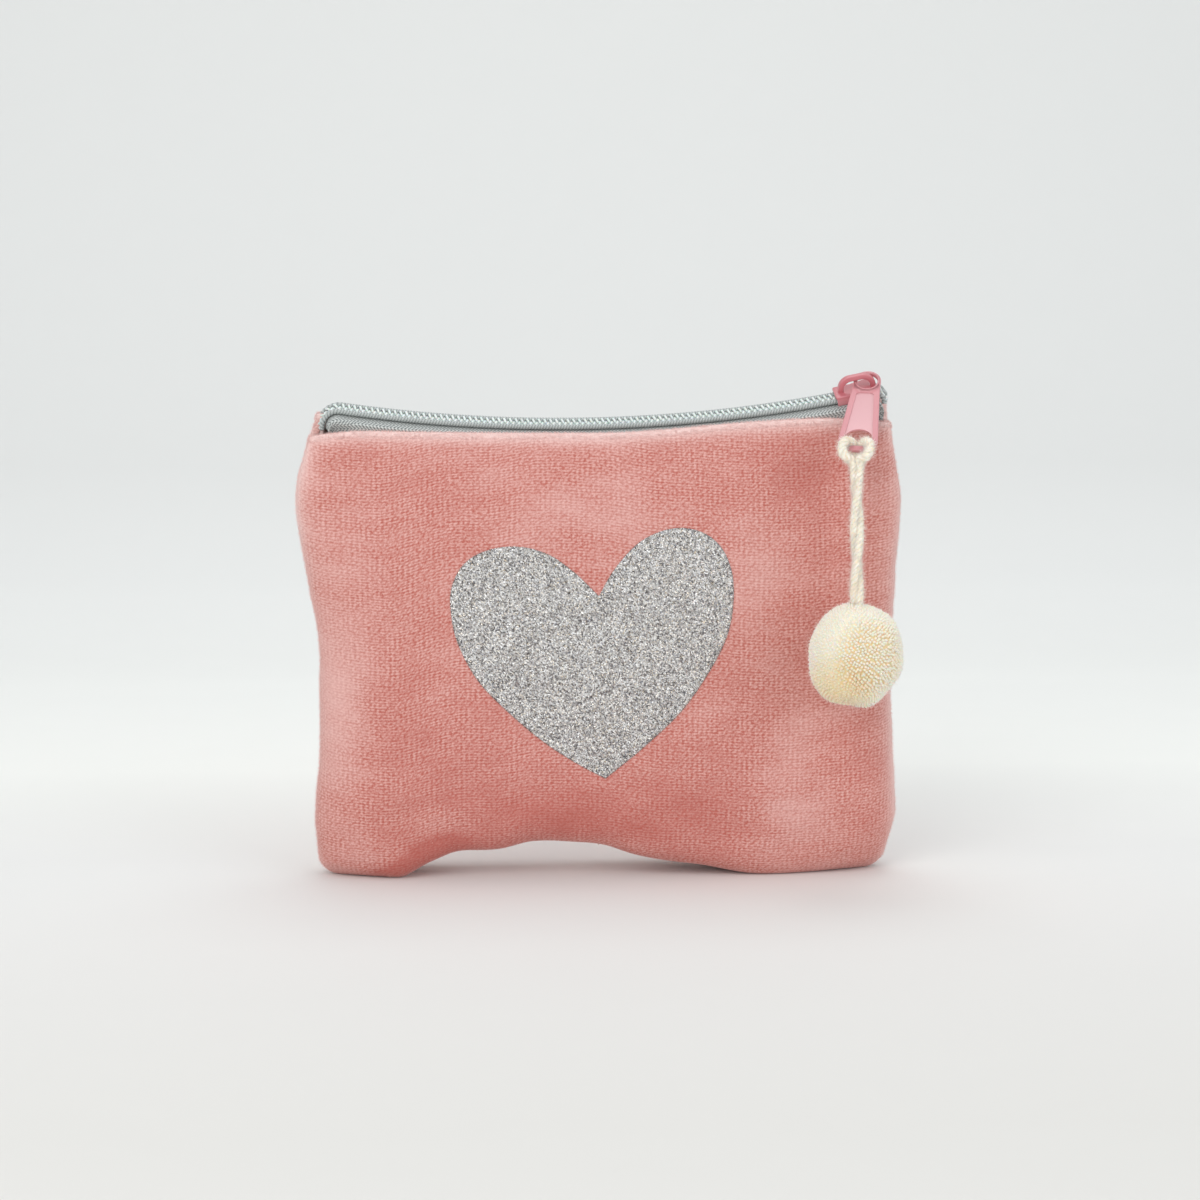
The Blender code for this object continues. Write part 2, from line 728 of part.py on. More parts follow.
def plate_outline():
    """The slider plate's outline: narrow where the closed zip leaves it and wide at its nose."""
    end = SLIDER_LENGTH / 2
    rear = REAR_CHANNEL + FLANGE_THICKNESS
    step = FLANGE_THICKNESS
    half = [
        (-end, rear - step), (step / 2 - end, rear), (-SLIDER_LENGTH * 0.14, rear),
        (SLIDER_LENGTH * 0.20, NOSE_HALF_WIDTH), (SLIDER_LENGTH * 0.34, NOSE_HALF_WIDTH),
        (end - step / 2, NOSE_HALF_WIDTH - step), (end, NOSE_HALF_WIDTH - 3 * step),
    ]
    return half + [(x, -y) for x, y in reversed(half)]


def flange_outline(side):
    """A flange under the top plate's edge, which keeps the coil in the slider."""
    end = SLIDER_LENGTH / 2
    inner = [
        (FLANGE_THICKNESS / 2 - end, REAR_CHANNEL), (-SLIDER_LENGTH * 0.14, REAR_CHANNEL),
        (SLIDER_LENGTH * 0.20, NOSE_CHANNEL), (SLIDER_LENGTH * 0.34, NOSE_CHANNEL),
    ]
    outer = [(x, y + FLANGE_THICKNESS) for x, y in reversed(inner)]
    return [(x, side * y) for x, y in inner + outer]


def arc_points(centre_x, centre_y, radius, start, end, steps):
    """Points of an arc between two angles in degrees."""
    found = []
    for step in range(steps + 1):
        angle = math.radians(start + (end - start) * step / steps)
        found.append((centre_x + radius * math.cos(angle), centre_y + radius * math.sin(angle)))
    return found


def arch_outline():
    """The bridge's outline, seen from the side of the slider."""
    half = BRIDGE_SPAN / 2
    outer_top = BRIDGE_INNER_HEIGHT + BRIDGE_WIRE
    inner_half = half - BRIDGE_WIRE
    corner = BRIDGE_CORNER
    inner_corner = corner - BRIDGE_WIRE / 2
    low = -CUT_OVERRUN
    outer = [(half, low)]
    outer += arc_points(half - corner, outer_top - corner, corner, 0, 90, 5)
    outer += arc_points(corner - half, outer_top - corner, corner, 90, 180, 5)
    outer.append((-half, low))
    inner = [(-inner_half, low)]
    top = BRIDGE_INNER_HEIGHT - inner_corner
    inner += arc_points(inner_corner - inner_half, top, inner_corner, 180, 90, 5)
    inner += arc_points(inner_half - inner_corner, top, inner_corner, 90, 0, 5)
    inner.append((inner_half, low))
    return outer + inner


def make_slider(parts, cutters, enamel):
    """The cast slider: two plates joined by a post, flanges round the coil, and a bridge."""
    outline = plate_outline()
    thick = PLATE_THICKNESS
    body = flat_shape("slider_body", [outline], thick, parts, enamel)
    body.data.transform(Matrix.Translation((0.0, 0.0, PLATE_TOP + thick / 2)))
    lower = flat_shape("slider_lower_plate", [outline], thick, cutters)
    lower.data.transform(Matrix.Translation((0.0, 0.0, PLATE_BOTTOM - thick / 2)))
    joined = [lower]
    flange_low = COIL_BOTTOM + TAPE_SLOT
    flange_height = PLATE_TOP + CUT_OVERRUN - flange_low
    for side, name in ((-1, "slider_front_flange"), (1, "slider_back_flange")):
        flange = flat_shape(name, [flange_outline(side)], flange_height, cutters)
        flange.data.transform(
            Matrix.Translation((0.0, 0.0, flange_low + flange_height / 2))
        )
        joined.append(flange)
    wide = POST_HALF_WIDTH
    post_end = SLIDER_LENGTH / 2 - FLANGE_THICKNESS
    post = [
        (post_end - POST_LENGTH, 0.0), (post_end - POST_LENGTH / 2, wide),
        (post_end, wide), (post_end, -wide), (post_end - POST_LENGTH / 2, -wide),
    ]
    post_height = PLATE_TOP - PLATE_BOTTOM + 2 * CUT_OVERRUN
    pillar = flat_shape("slider_post", [post], post_height, cutters)
    pillar.data.transform(Matrix.Translation((0.0, 0.0, (PLATE_TOP + PLATE_BOTTOM) / 2)))
    joined.append(pillar)
    bridge = flat_shape("slider_bridge", [arch_outline()], BRIDGE_WIDTH, cutters)
    bridge.data.transform(Matrix.Rotation(math.pi / 2, 4, "X"))
    bridge.data.transform(Matrix.Translation((0.0, 0.0, PLATE_TOP + thick)))
    joined.append(bridge)
    place = zip_matrix(SLIDER_PLACE)
    for piece in [body, *joined]:
        piece.matrix_world = place
    for piece in joined:
        add_boolean(body, piece, "UNION")
    return body


def tab_pivot():
    """The middle of the tab's ring, in the slider's frame. The bridge's right leg is in it."""
    leg = BRIDGE_SPAN / 2 - BRIDGE_WIRE / 2
    inside = TAB_HOLE_RADIUS - TAB_LEG_GAP - BRIDGE_WIRE / 2
    height = PLATE_OUTSIDE + BRIDGE_INNER_HEIGHT * TAB_HANG_SHARE
    return Vector((leg - inside, -TAB_FORWARD, height))


def tab_matrix():
    """Places the tab's own frame: X across it, -Y down its length and Z out of its front."""
    fall = TAB_LEAN + ZIP_ROLL
    down = Vector((0.0, -math.sin(fall), -math.cos(fall)))
    face = Vector((0.0, -math.cos(fall), math.sin(fall)))
    length_axis = Matrix.Rotation(-TAB_TURN, 3, face) @ down
    across = face.cross(length_axis)
    turned = Matrix((across, -length_axis, face)).transposed().to_4x4()
    return zip_matrix(SLIDER_PLACE) @ Matrix.Translation(tab_pivot()) @ turned


def tab_outline():
    """The tab's outline: a ring at the top, widening to a foot with cut corners."""
    foot = TAB_FOOT_WIDTH / 2
    low = -TAB_LENGTH
    cut = TAB_CHAMFER
    half = [
        (foot - cut, low), (foot - cut / 4, low + cut * 0.7), (foot, low + cut * 1.6),
        (TAB_WAIST / 2, -TAB_RING_RADIUS * 0.9),
    ]
    top = arc_points(0.0, 0.0, TAB_RING_RADIUS, -10, 190, 14)
    return half + top + [(-x, y) for x, y in reversed(half)]


def slot_outline():
    """The slot at the tab's foot: straight over the bar and round above."""
    half = TAB_SLOT_WIDTH / 2
    low = -TAB_LENGTH + TAB_BAR
    cut = TAB_CHAMFER / 3
    rise = TAB_SLOT_HEIGHT / 2
    points = [(-half + cut, low), (half - cut, low), (half, low + cut)]
    for step in range(9):
        angle = math.pi * step / 8
        points.append(
            (half * math.cos(angle), low + rise + (TAB_SLOT_HEIGHT - rise) * math.sin(angle))
        )
    points.append((-half, low + cut))
    return points


def field_outline():
    """The sunk field between the tab's ring and its slot."""
    top_half = TAB_WAIST / 2 - TAB_BORDER
    low_half = TAB_FOOT_WIDTH / 2 - TAB_BORDER * 1.3
    top = -TAB_RING_RADIUS - TAB_BORDER
    low = -TAB_LENGTH + TAB_BAR + TAB_SLOT_HEIGHT + TAB_BORDER
    dip = TAB_BORDER
    return [
        (-low_half, low - dip), (0.0, low), (low_half, low - dip),
        (top_half, top), (0.0, top - dip / 2), (-top_half, top),
    ]


def make_tab(parts, cutters, enamel):
    """The pull tab, with a sunk field on each face."""
    hole = arc_points(0.0, 0.0, TAB_HOLE_RADIUS, 0, 345, 23)
    outlines = [tab_outline(), hole, slot_outline()]
    tab = flat_shape("pull_tab", outlines, TAB_THICKNESS, parts, enamel)
    tab.matrix_world = tab_matrix()
    for name, face in (("tab_front_field", 1), ("tab_back_field", -1)):
        field = flat_shape(name, [field_outline()], 2 * TAB_RECESS, cutters)
        field.data.transform(Matrix.Translation((0.0, 0.0, face * TAB_THICKNESS / 2)))
        field.matrix_world = tab_matrix()
        add_boolean(tab, field, "DIFFERENCE")
    return tab


def hang_direction():
    """The direction in which the cord hangs from the tab's bar to the pompom's place."""
    bar = tab_matrix() @ Vector((0.0, -TAB_LENGTH, 0.0))
    out = -pompom_depth() - bar.y
    return Vector((-POMPOM_SHIFT, out, -CORD_LENGTH)).normalized()


def pompom_depth():
    """How far the pompom hangs in front of the bag's middle, just clear of its fullest part."""
    return HALF_DEPTH + FIT_GAP + HEART_THICKNESS + POMPOM_GAP + POMPOM_WIDTH / 2


def hitch_route():
    """The yarn's way round the tab's bar, from one strand under it to the other."""
    out = math.hypot(TAB_THICKNESS, TAB_BAR) / 2 + YARN_DIAMETER / 2
    low = -TAB_LENGTH
    high = low + TAB_BAR
    strand = YARN_DIAMETER / 2 + FIT_GAP / 2
    lobe = TAB_FOOT_WIDTH / 2 - TAB_CHAMFER + YARN_DIAMETER / 2
    between = (strand + lobe) / 2
    over = high + YARN_DIAMETER / 2 + FIT_GAP
    down = tab_matrix().to_3x3().inverted() @ hang_direction()
    neck = Vector((strand, low - YARN_DIAMETER, 0.15 * out))
    half = [
        neck + down * YARN_DIAMETER,
        neck,
        (between, low - 0.7 * YARN_DIAMETER, 0.80 * out),
        (lobe, low + 0.1 * TAB_BAR, out * 1.05),
        (lobe, high, out * 1.05),
        (between * 1.08, over + 0.2 * YARN_DIAMETER, out * 0.95),
        (strand * 1.25, over + 0.1 * YARN_DIAMETER, 0.30 * out),
        (strand * 1.15, over, -0.45 * out),
        (strand * 1.05, high - 0.30 * TAB_BAR, -out * 1.05),
        (strand * 0.50, low + 0.30 * TAB_BAR, -out * 1.12),
    ]
    return half + [(-x, y, z) for x, y, z in reversed(half)]


def cord_top():
    """Where the two strands under the hitch come together and the free cord starts."""
    left, right = Vector(hitch_route()[0]), Vector(hitch_route()[-1])
    return tab_matrix() @ ((left + right) / 2) + hang_direction() * FIT_GAP


def pompom_top():
    """Where the cord enters the pompom."""
    top = cord_top()
    out = -pompom_depth() - top.y
    drop = math.sqrt(CORD_LENGTH**2 - out**2 - POMPOM_SHIFT**2)
    return top + Vector((-POMPOM_SHIFT, out, -drop))


def knot_centre():
    """The middle of the knot that holds the pompom, at the foot of the pompom's bore."""
    rise = KNOT_DIAMETER / 2 + FIT_GAP - POMPOM_BORE_DEPTH
    return pompom_top() + Vector((0.0, 0.0, rise))


def cord_route():
    """Points along the free cord, from the hitch to the knot in the pompom, with a slight bow."""
    start, end = cord_top(), pompom_top()
    points = []
    for step in range(CORD_STEPS + 1):
        share = step / CORD_STEPS
        point = start + (end - start) * share
        point.y -= CORD_BOW * math.sin(math.pi * share)
        points.append(point)
    foot = knot_centre() + Vector((0.0, 0.0, KNOT_DIAMETER / 2 + FIT_GAP))
    for share in (0.5, 1.0):
        points.append(end + (foot - end) * share)
    return points


def make_cord(parts, wool):
    """The hitch round the bar and the free cord below it."""
    place = tab_matrix()
    route = [place @ point for point in smooth_points(hitch_route(), 3)]
    hitch = tube("cord_hitch", route, YARN_DIAMETER, parts, wool, 1)
    cord = tube("charm_cord", cord_route(), CORD_DIAMETER, parts, wool, 2)
    return hitch, cord


def lumpy(way):
    """How far the pompom's surface lies out in a direction, with its flatter places."""
    flats = [((0.55, -0.10, -0.83), 0.82), ((0.80, -0.30, 0.52), 0.85), ((-0.7, 0.2, -0.6), 0.9)]
    out = 1.0 - 0.015 * (1 + math.sin(3.1 * way.x + 1.3) * math.cos(2.7 * way.z))
    out -= 0.015 * (1 + math.sin(4.3 * way.y + 2.1 * way.x + 0.4))
    for towards, start in flats:
        out -= 0.25 * max(0.0, way.dot(Vector(towards).normalized()) - start)
    return out


def make_bore_cutter(name, low_radius, high_radius, depth, cutters):
    """A cone or cylinder that opens the pompom from its top."""
    mesh = bpy.data.meshes.new(name)
    shape = bmesh.new()
    full = depth + CUT_OVERRUN
    bmesh.ops.create_cone(
        shape, cap_ends=True, segments=14, radius1=low_radius, radius2=high_radius, depth=full,
    )
    shape.to_mesh(mesh)
    shape.free()
    mesh.transform(Matrix.Translation((0.0, 0.0, CUT_OVERRUN - full / 2)))
    return link_object(name, mesh, cutters)


def make_pompom(parts, cutters, wool):
    """The ball of cut yarn, with a funnel and a bore where the cord goes in, and its knot."""
    place = Matrix.Translation(pompom_top())
    mesh = bpy.data.meshes.new("pompom")
    shape = bmesh.new()
    bmesh.ops.create_icosphere(shape, subdivisions=3, radius=1.0)
    for vert in shape.verts:
        way = vert.co.normalized()
        point = way * lumpy(way)
        vert.co = (
            point.x * POMPOM_WIDTH / 2,
            point.y * POMPOM_WIDTH / 2,
            (point.z - 1.0) * POMPOM_HEIGHT / 2,
        )
    shape.to_mesh(mesh)
    shape.free()
    shade_mesh(mesh)
    pompom = link_object("pompom", mesh, parts, wool)
    pompom.matrix_world = place
    bore = POMPOM_BORE_RADIUS
    funnel = POMPOM_FUNNEL_RADIUS
    sizes = [
        ("pompom_bore", bore, bore, POMPOM_BORE_DEPTH),
        ("pompom_funnel", bore, funnel, POMPOM_FUNNEL_DEPTH),
    ]
    for name, low, high, depth in sizes:
        cutter = make_bore_cutter(name, low, high, depth, cutters)
        cutter.matrix_world = place
        add_boolean(pompom, cutter, "DIFFERENCE")
    knot_mesh = bpy.data.meshes.new("cord_knot")
    shape = bmesh.new()
    bmesh.ops.create_uvsphere(shape, u_segments=12, v_segments=8, radius=KNOT_DIAMETER / 2)
    shape.to_mesh(knot_mesh)
    shape.free()
    shade_mesh(knot_mesh)
    knot = link_object("cord_knot", knot_mesh, parts, wool)
    knot.location = knot_centre()
    return pompom, knot


def add_pivot(name, place, collection):
    """An empty on a joint's axis, which carries what moves with that joint."""
    pivot = bpy.data.objects.new(name, None)
    pivot.empty_display_size = SLIDER_LENGTH
    pivot.matrix_world = place
    collection.objects.link(pivot)
    return pivot


def attach(child, parent):
    """Parents an object without moving it."""
    bpy.context.view_layer.update()
    child.parent = parent
    child.matrix_parent_inverse = parent.matrix_world.inverted()


def join_motion(slider, tab, hitch, cord, knot, pompom, parts):
    """Hangs each moving piece from what carries it, by way of its joint's axis."""
    centre = Vector((ZIP_LOW_X, 0.0, ZIP_LOW_HEIGHT + ZIP_RADIUS))
    travel = add_pivot("slider_travel_axis", Matrix.Translation(centre), parts)
    swing = add_pivot("cord_swing_axis", Matrix.Translation(cord_top()), parts)
    turn = add_pivot("pompom_swing_axis", Matrix.Translation(knot_centre()), parts)
    attach(slider, travel)
    attach(tab, slider)
    attach(hitch, tab)
    attach(swing, tab)
    attach(cord, swing)
    attach(knot, swing)
    attach(turn, knot)
    attach(pompom, turn)


def main():
    """Builds the whole pouch."""
    clear_scene()
    parts = new_collection("zip_pouch")
    cutters = new_collection("zip_pouch_cutters")
    velvet = make_material("velvet", (0.72, 0.32, 0.29), 0.95)
    cotton = make_material("lining_cotton", (0.80, 0.74, 0.66), 0.9)
    thread = make_material("thread", (0.70, 0.34, 0.32), 0.8)
    glitter = make_material("glitter", (0.62, 0.61, 0.60), 0.35, 0.8)
    twill = make_material("zip_tape", (0.62, 0.67, 0.67), 0.85)
    nylon = make_material("zip_coil", (0.78, 0.84, 0.83), 0.35)
    enamel = make_material("pink_enamel", (0.78, 0.36, 0.40), 0.35)
    wool = make_material("cream_yarn", (0.86, 0.80, 0.66), 0.95)

    for side, name in ((-1, "front"), (1, "back")):
        panel = make_panel(name + "_panel", side, parts, velvet)
        make_lining(name + "_lining", side, parts, cotton)
        make_tape(name + "_tape", side, parts, panel, twill)
        make_coil(name + "_coil", side, parts, nylon)
        if side < 0:
            make_heart(parts, panel, glitter)
    make_seam_threads(parts, thread)
    slider = make_slider(parts, cutters, enamel)
    tab = make_tab(parts, cutters, enamel)
    hitch, cord = make_cord(parts, wool)
    pompom, knot = make_pompom(parts, cutters, wool)
    join_motion(slider, tab, hitch, cord, knot, pompom, parts)
    for piece in [*parts.objects, *cutters.objects]:
        if piece.parent is None:
            piece.location.y += BAG_BACK


main()
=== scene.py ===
"""The looks of a small velvet zip pouch with a glitter heart and a pompom charm.

Units are metres in the frame's own axes: +Z is up and -Y is the front. The shapes are worked
out about the bag's middle plane, which lies BAG_BACK behind the frame's origin.
"""

import math

import bmesh
import bpy
import numpy as np
from mathutils import Matrix, Vector
from mathutils.bvhtree import BVHTree

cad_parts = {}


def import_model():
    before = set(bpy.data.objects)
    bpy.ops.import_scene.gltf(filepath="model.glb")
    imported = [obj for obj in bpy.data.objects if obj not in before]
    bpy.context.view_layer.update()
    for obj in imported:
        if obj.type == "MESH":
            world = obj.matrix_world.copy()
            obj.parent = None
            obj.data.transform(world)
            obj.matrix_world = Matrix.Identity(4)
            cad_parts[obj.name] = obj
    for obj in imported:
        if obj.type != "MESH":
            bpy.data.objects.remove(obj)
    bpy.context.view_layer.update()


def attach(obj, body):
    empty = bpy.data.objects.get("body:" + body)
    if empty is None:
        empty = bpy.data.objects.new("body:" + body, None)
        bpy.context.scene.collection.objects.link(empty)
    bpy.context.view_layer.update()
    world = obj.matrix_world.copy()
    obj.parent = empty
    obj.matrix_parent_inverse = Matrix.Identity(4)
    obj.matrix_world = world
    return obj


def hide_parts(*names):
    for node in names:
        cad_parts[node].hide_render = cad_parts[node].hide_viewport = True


TURN = 2 * math.pi
TEXTURE_UNIT = 0.1
BAG_BACK = 0.0025
WORDS = {-1: "front", 1: "back"}

# The bag's outer form, near that of the solid model: its tables hold shares of these sizes
HALF_WIDTH = 0.070
RIM_HEIGHT = 0.104
BACK_RIM_RISE = 0.0014
BACK_CORNER_RISES = (0.0034, 0.0042)
BACK_CORNER_START = 0.85
RIM_ROLL = 0.0012
HALF_DEPTH = 0.014
BOTTOM_LIFT = 0.0082
FOOT_SINK = 0.0009
CORNER_RADIUS = 0.0044
SIDE_SHARPNESS = 3.4
RIM_SHARPNESS = 14.0
COLUMN_CROWDING = 1.6
SEAM_HALF_GAP = 0.00055
VELVET_THICKNESS = 0.0010
RIM_DEPTHS = {-1: 0.00525, 1: 0.00589}
LEFT_OUTLINE_SHARES = [
    (0.00, 0.928), (0.04, 0.937), (0.085, 0.941), (0.13, 0.945), (0.18, 0.941),
    (0.24, 0.931), (0.31, 0.927), (0.44, 0.926), (0.51, 0.924), (0.58, 0.936),
    (0.64, 0.954), (0.71, 0.970), (0.78, 0.986), (0.84, 0.994), (0.89, 0.988),
    (0.93, 0.972), (0.97, 0.956), (1.04, 0.922),
]
RIGHT_OUTLINE_SHARES = [
    (0.00, 0.945), (0.045, 0.957), (0.085, 0.972), (0.13, 0.986), (0.18, 0.983),
    (0.29, 0.971), (0.49, 0.964), (0.67, 0.976), (0.83, 0.987), (0.95, 0.962), (1.06, 0.946),
]
RIM_SHARES = [
    (-1.00, 0.990), (-0.90, 0.999), (-0.80, 1.001), (-0.50, 0.997), (-0.20, 0.995),
    (0.05, 0.995), (0.22, 1.001), (0.40, 1.011), (0.60, 1.020), (0.80, 1.024),
    (1.00, 1.015),
]
BOTTOM_SHARES = [
    (-1.00, 0.00), (-0.82, 0.00), (-0.72, 0.04), (-0.60, 0.46), (-0.50, 0.72),
    (-0.36, 0.78), (-0.24, 1.00), (0.00, 0.86), (0.18, 0.50), (0.36, 0.30),
    (0.52, 0.06), (0.62, 0.00), (0.82, 0.00), (1.00, 0.00),
]
LOWER_SECTION_SHARES = [
    (0.000, 0.00, 0.000), (0.000, 0.24, 0.030), (0.003, 0.46, 0.060),
    (0.014, 0.66, 0.095), (0.045, 0.82, 0.140), (0.100, 0.92, 0.200),
    (0.180, 0.975, 0.270), (0.280, 1.00, 0.350),
]
UPPER_SECTION_SHARES = [
    (0.390, 1.00, 0.440), (0.500, 0.97, 0.530), (0.610, 0.905, 0.620),
    (0.710, 0.80, 0.710), (0.800, 0.66, 0.800), (0.880, 0.455, 0.880),
    (0.945, 0.24, 0.945), (1.000, 0.00, 1.000),
]
# Soft hollows and swells of the velvet: place across, height, spreads across and up, and depth
VELVET_SWELLS = [
    (-0.043, 0.012, 0.012, 0.007, -0.0011), (-0.058, 0.016, 0.009, 0.010, 0.0006),
    (0.058, 0.020, 0.010, 0.012, 0.0006), (0.030, 0.012, 0.016, 0.006, -0.0005),
    (0.046, 0.094, 0.007, 0.014, -0.0009), (0.030, 0.096, 0.010, 0.008, 0.0004),
    (0.012, 0.096, 0.009, 0.006, -0.0005), (-0.058, 0.086, 0.006, 0.010, -0.0006),
    (-0.046, 0.070, 0.012, 0.020, 0.0004), (0.061, 0.068, 0.005, 0.020, -0.0006),
    (0.050, 0.045, 0.010, 0.016, 0.0004), (-0.020, 0.015, 0.016, 0.005, 0.0005),
]

# Brushed places of the pile, with painted light and shade among them: place across, height,
# spreads across and up, and lightness
NAP_AND_PAINTED_LIGHT_PLACES = [
    (0.046, 0.092, 0.010, 0.014, -0.40), (-0.006, 0.014, 0.042, 0.011, -0.58),
    (-0.062, 0.042, 0.008, 0.022, 0.60), (-0.042, 0.042, 0.014, 0.018, -0.10),
    (-0.019, 0.092, 0.020, 0.010, 0.15), (0.062, 0.024, 0.008, 0.014, -0.10),
    (0.037, 0.078, 0.012, 0.018, 0.30), (0.045, 0.015, 0.011, 0.009, 0.40),
    (0.065, 0.066, 0.004, 0.020, 0.05), (0.023, 0.028, 0.014, 0.010, -0.15),
    (-0.060, 0.074, 0.008, 0.010, 0.20), (-0.058, 0.009, 0.010, 0.008, 0.15),
    (0.000, 0.082, 0.022, 0.007, 0.20),
    # Painted shade in the fold from the left foot up to the arch, and painted light on the cloth
    # beside it
    (-0.0400, 0.0070, 0.0042, 0.0021, -1.30), (-0.0355, 0.0090, 0.0042, 0.0022, -0.90),
    (-0.0450, 0.0035, 0.0045, 0.0018, -1.10), (-0.0500, 0.0015, 0.0040, 0.0013, -0.80),
    (-0.0380, 0.0140, 0.0100, 0.0035, 0.35), (-0.0040, 0.0080, 0.0140, 0.0020, 0.50),
]
# The seams' threads, and how far from the edges the pile is painted pale, a painted sheen
SEAM_INSET = 0.0009
SEAM_THREAD = 0.0004
RIM_SHEEN = 0.0012
RIM_ROUNDING = 0.00065
SIDE_SHEEN = 0.0015
SIDE_SHEEN_SHARE = 0.85
# How far the panels' edges are turned in, and their distance from the middle plane there
SIDE_TUCK = 0.0007
BOTTOM_TUCK = 0.0006
BACK_CORNER_TUCK = 0.0011
BACK_CORNER_LOW = 0.099
DRAWN_GAP = 0.00006
PILE_LENGTH = 0.00055
PILE_FIBRES = {-1: 30000, 1: 16000}
LINING_GAP = 0.0021
LINING_LIFT = 0.0016
LINING_DROP = 0.0055
LINING_THICKNESS = 0.0005

# The zip's line, nearly as in the solid model, and its sections
ZIP_ROLL = math.radians(24)
ZIP_RADIUS = 0.350
ZIP_LOW_X = -0.00798
ZIP_LOW_HEIGHT = 0.1038
ZIP_LEFT_TURN = 0.0030
ZIP_RIGHT_TURN = 0.0011
ZIP_LEFT = math.asin((-0.849 * HALF_WIDTH - ZIP_LOW_X) / ZIP_RADIUS) * ZIP_RADIUS
ZIP_RIGHT = math.asin((0.905 * HALF_WIDTH - ZIP_LOW_X) / ZIP_RADIUS) * ZIP_RADIUS
ZIP_CLOSED = math.asin((0.917 * HALF_WIDTH - ZIP_LOW_X) / ZIP_RADIUS) * ZIP_RADIUS
ZIP_TAIL = 0.0008
ZIP_START = ZIP_LEFT - ZIP_LEFT_TURN * (math.pi / 2 - ZIP_LEFT / ZIP_RADIUS) - ZIP_TAIL
ZIP_END = ZIP_RIGHT + ZIP_RIGHT_TURN * (math.pi / 2 + ZIP_RIGHT / ZIP_RADIUS) + ZIP_TAIL
COIL_PITCH = 0.00133
COIL_BOTTOM = 0.00055
COIL_TOP = 0.00178
COIL_HALF_WIDTH = 0.0019
TOOTH_REACH = 0.00025
COIL_WIRE = 0.00057
COIL_SPREAD = 0.0008
STEPS_A_TURN = 14
STITCH_RADIUS = 0.00058
STITCH_INSET = 0.00030
STITCH_DEPTH = 0.16
TAPE_EDGE = 0.0007
TAPE_FLAT = 0.00405
TAPE_INSET = 0.00155
TAPE_THICKNESS = 0.00046
TAPE_MARGIN = 0.0040
TAPE_LIP = 0.0060
TAPE_SPLAY = 0.0011
NOSE_HALF_WIDTH = 0.0035

# The slider and the pull tab
SLIDER_LENGTH = 0.0092
SLIDER_PLACE = ZIP_CLOSED - SLIDER_LENGTH / 2
SLIDER_TAIL = 0.0008
PLATE_BOTTOM = -0.00055
PLATE_TOP = 0.0019
PLATE_THICKNESS = 0.0009
TOP_THICKNESS = 0.0007
PLATE_BEVEL = 0.00022
PLATE_OVERLAP = 0.0003
POST_LENGTH = 0.0024
POST_HALF_WIDTH = 0.0003
CHANNEL_GAP = 0.00012
FLANGE_THICKNESS = 0.0005
REAR_CHANNEL = 0.0022
NOSE_CHANNEL = 0.0030
BRIDGE_SPAN = 0.0088
BRIDGE_INNER_HEIGHT = 0.0023
BRIDGE_WIRE = 0.0012
BRIDGE_WIDTH = 0.0014
BRIDGE_CORNER = 0.0030
TAB_LEAN = math.radians(50.5)
TAB_TURN = math.radians(19.3)
TAB_THICKNESS = 0.0009
TAB_FORWARD = 0.0005
TAB_LEG_GAP = 0.0008
TAB_HANG = 0.004725
TAB_SETTLE = (-0.0003, 0.0, -0.0008)
TAB_RING_RADIUS = 0.00315
TAB_HOLE_RADIUS = 0.0024
TAB_LENGTH = 0.0222
TAB_WAIST = 0.0064
TAB_FOOT_WIDTH = 0.0090
TAB_SLOT_WIDTH = 0.0062
TAB_SLOT_HEIGHT = 0.0053
TAB_BAR = 0.0015
TAB_CHAMFER = 0.0022
TAB_BORDER = 0.0012
TAB_SOLID = 0.0008
TAB_RECESS = 0.00025

# The charm
YARN_DIAMETER = 0.0017
CORD_LENGTH = 0.0325
CORD_BOW = 0.0006
# The pompom's lumps, seen from the front: angle round from its right and share of its size
POMPOM_LUMPS = [
    (0, 0.975), (20, 0.980), (43, 1.025), (69, 0.988), (103, 1.013), (144, 0.994),
    (168, 1.000), (184, 0.992), (212, 1.050), (233, 1.048), (261, 0.960), (285, 1.022),
    (297, 0.992), (320, 0.945), (341, 0.995), (360, 0.975),
]
# Turns of the hitch: place across the tab, above its foot and out of its front
HITCH_TURNS = [
    (0.00110, -0.0024, -0.00010), (0.00225, -0.0022, 0.00060), (0.00305, -0.0010, 0.00125),
    (0.00305, 0.0004, 0.00155), (0.00260, 0.0017, 0.00145), (0.00180, 0.0023, 0.00085),
    (0.00100, 0.0024, -0.00020), (0.00080, 0.0017, -0.00130), (0.00050, 0.0006, -0.00160),
]
POMPOM_WIDTH = 0.0218
POMPOM_HEIGHT = 0.0232
POMPOM_SHIFT = 0.0004
POMPOM_GAP = 0.00125
POMPOM_DEPTH = HALF_DEPTH + POMPOM_GAP + POMPOM_WIDTH / 2
POMPOM_BORE_DEPTH = 0.0072
POMPOM_FLUFF = 1.035
KNOT_DIAMETER = 0.0034
KNOT_GAP = 0.0003
TWIST_LENGTH = 0.0288
PLY_TURN = 0.0034
HITCH_FIBRES = 4600
CORD_FIBRES = 10000
POMPOM_TUFTS = 2700
POMPOM_FIBRES = 6000
# A yarn end up to its tip: share of the ball's radius, its own in millimetres, paleness; less
# paleness is painted shade towards its root
TUFT_PROFILE = [
    (0.80, 0.24, 0.0), (0.90, 0.36, 0.20), (0.950, 0.38, 0.50), (0.980, 0.31, 0.90),
    (0.998, 0.17, 1.0),
]

# The heart
HEART_WIDTH = 0.0645
HEART_HEIGHT = 0.0574
HEART_X = -0.0025
HEART_BOTTOM = 0.0244
HEART_STAND = 0.00030
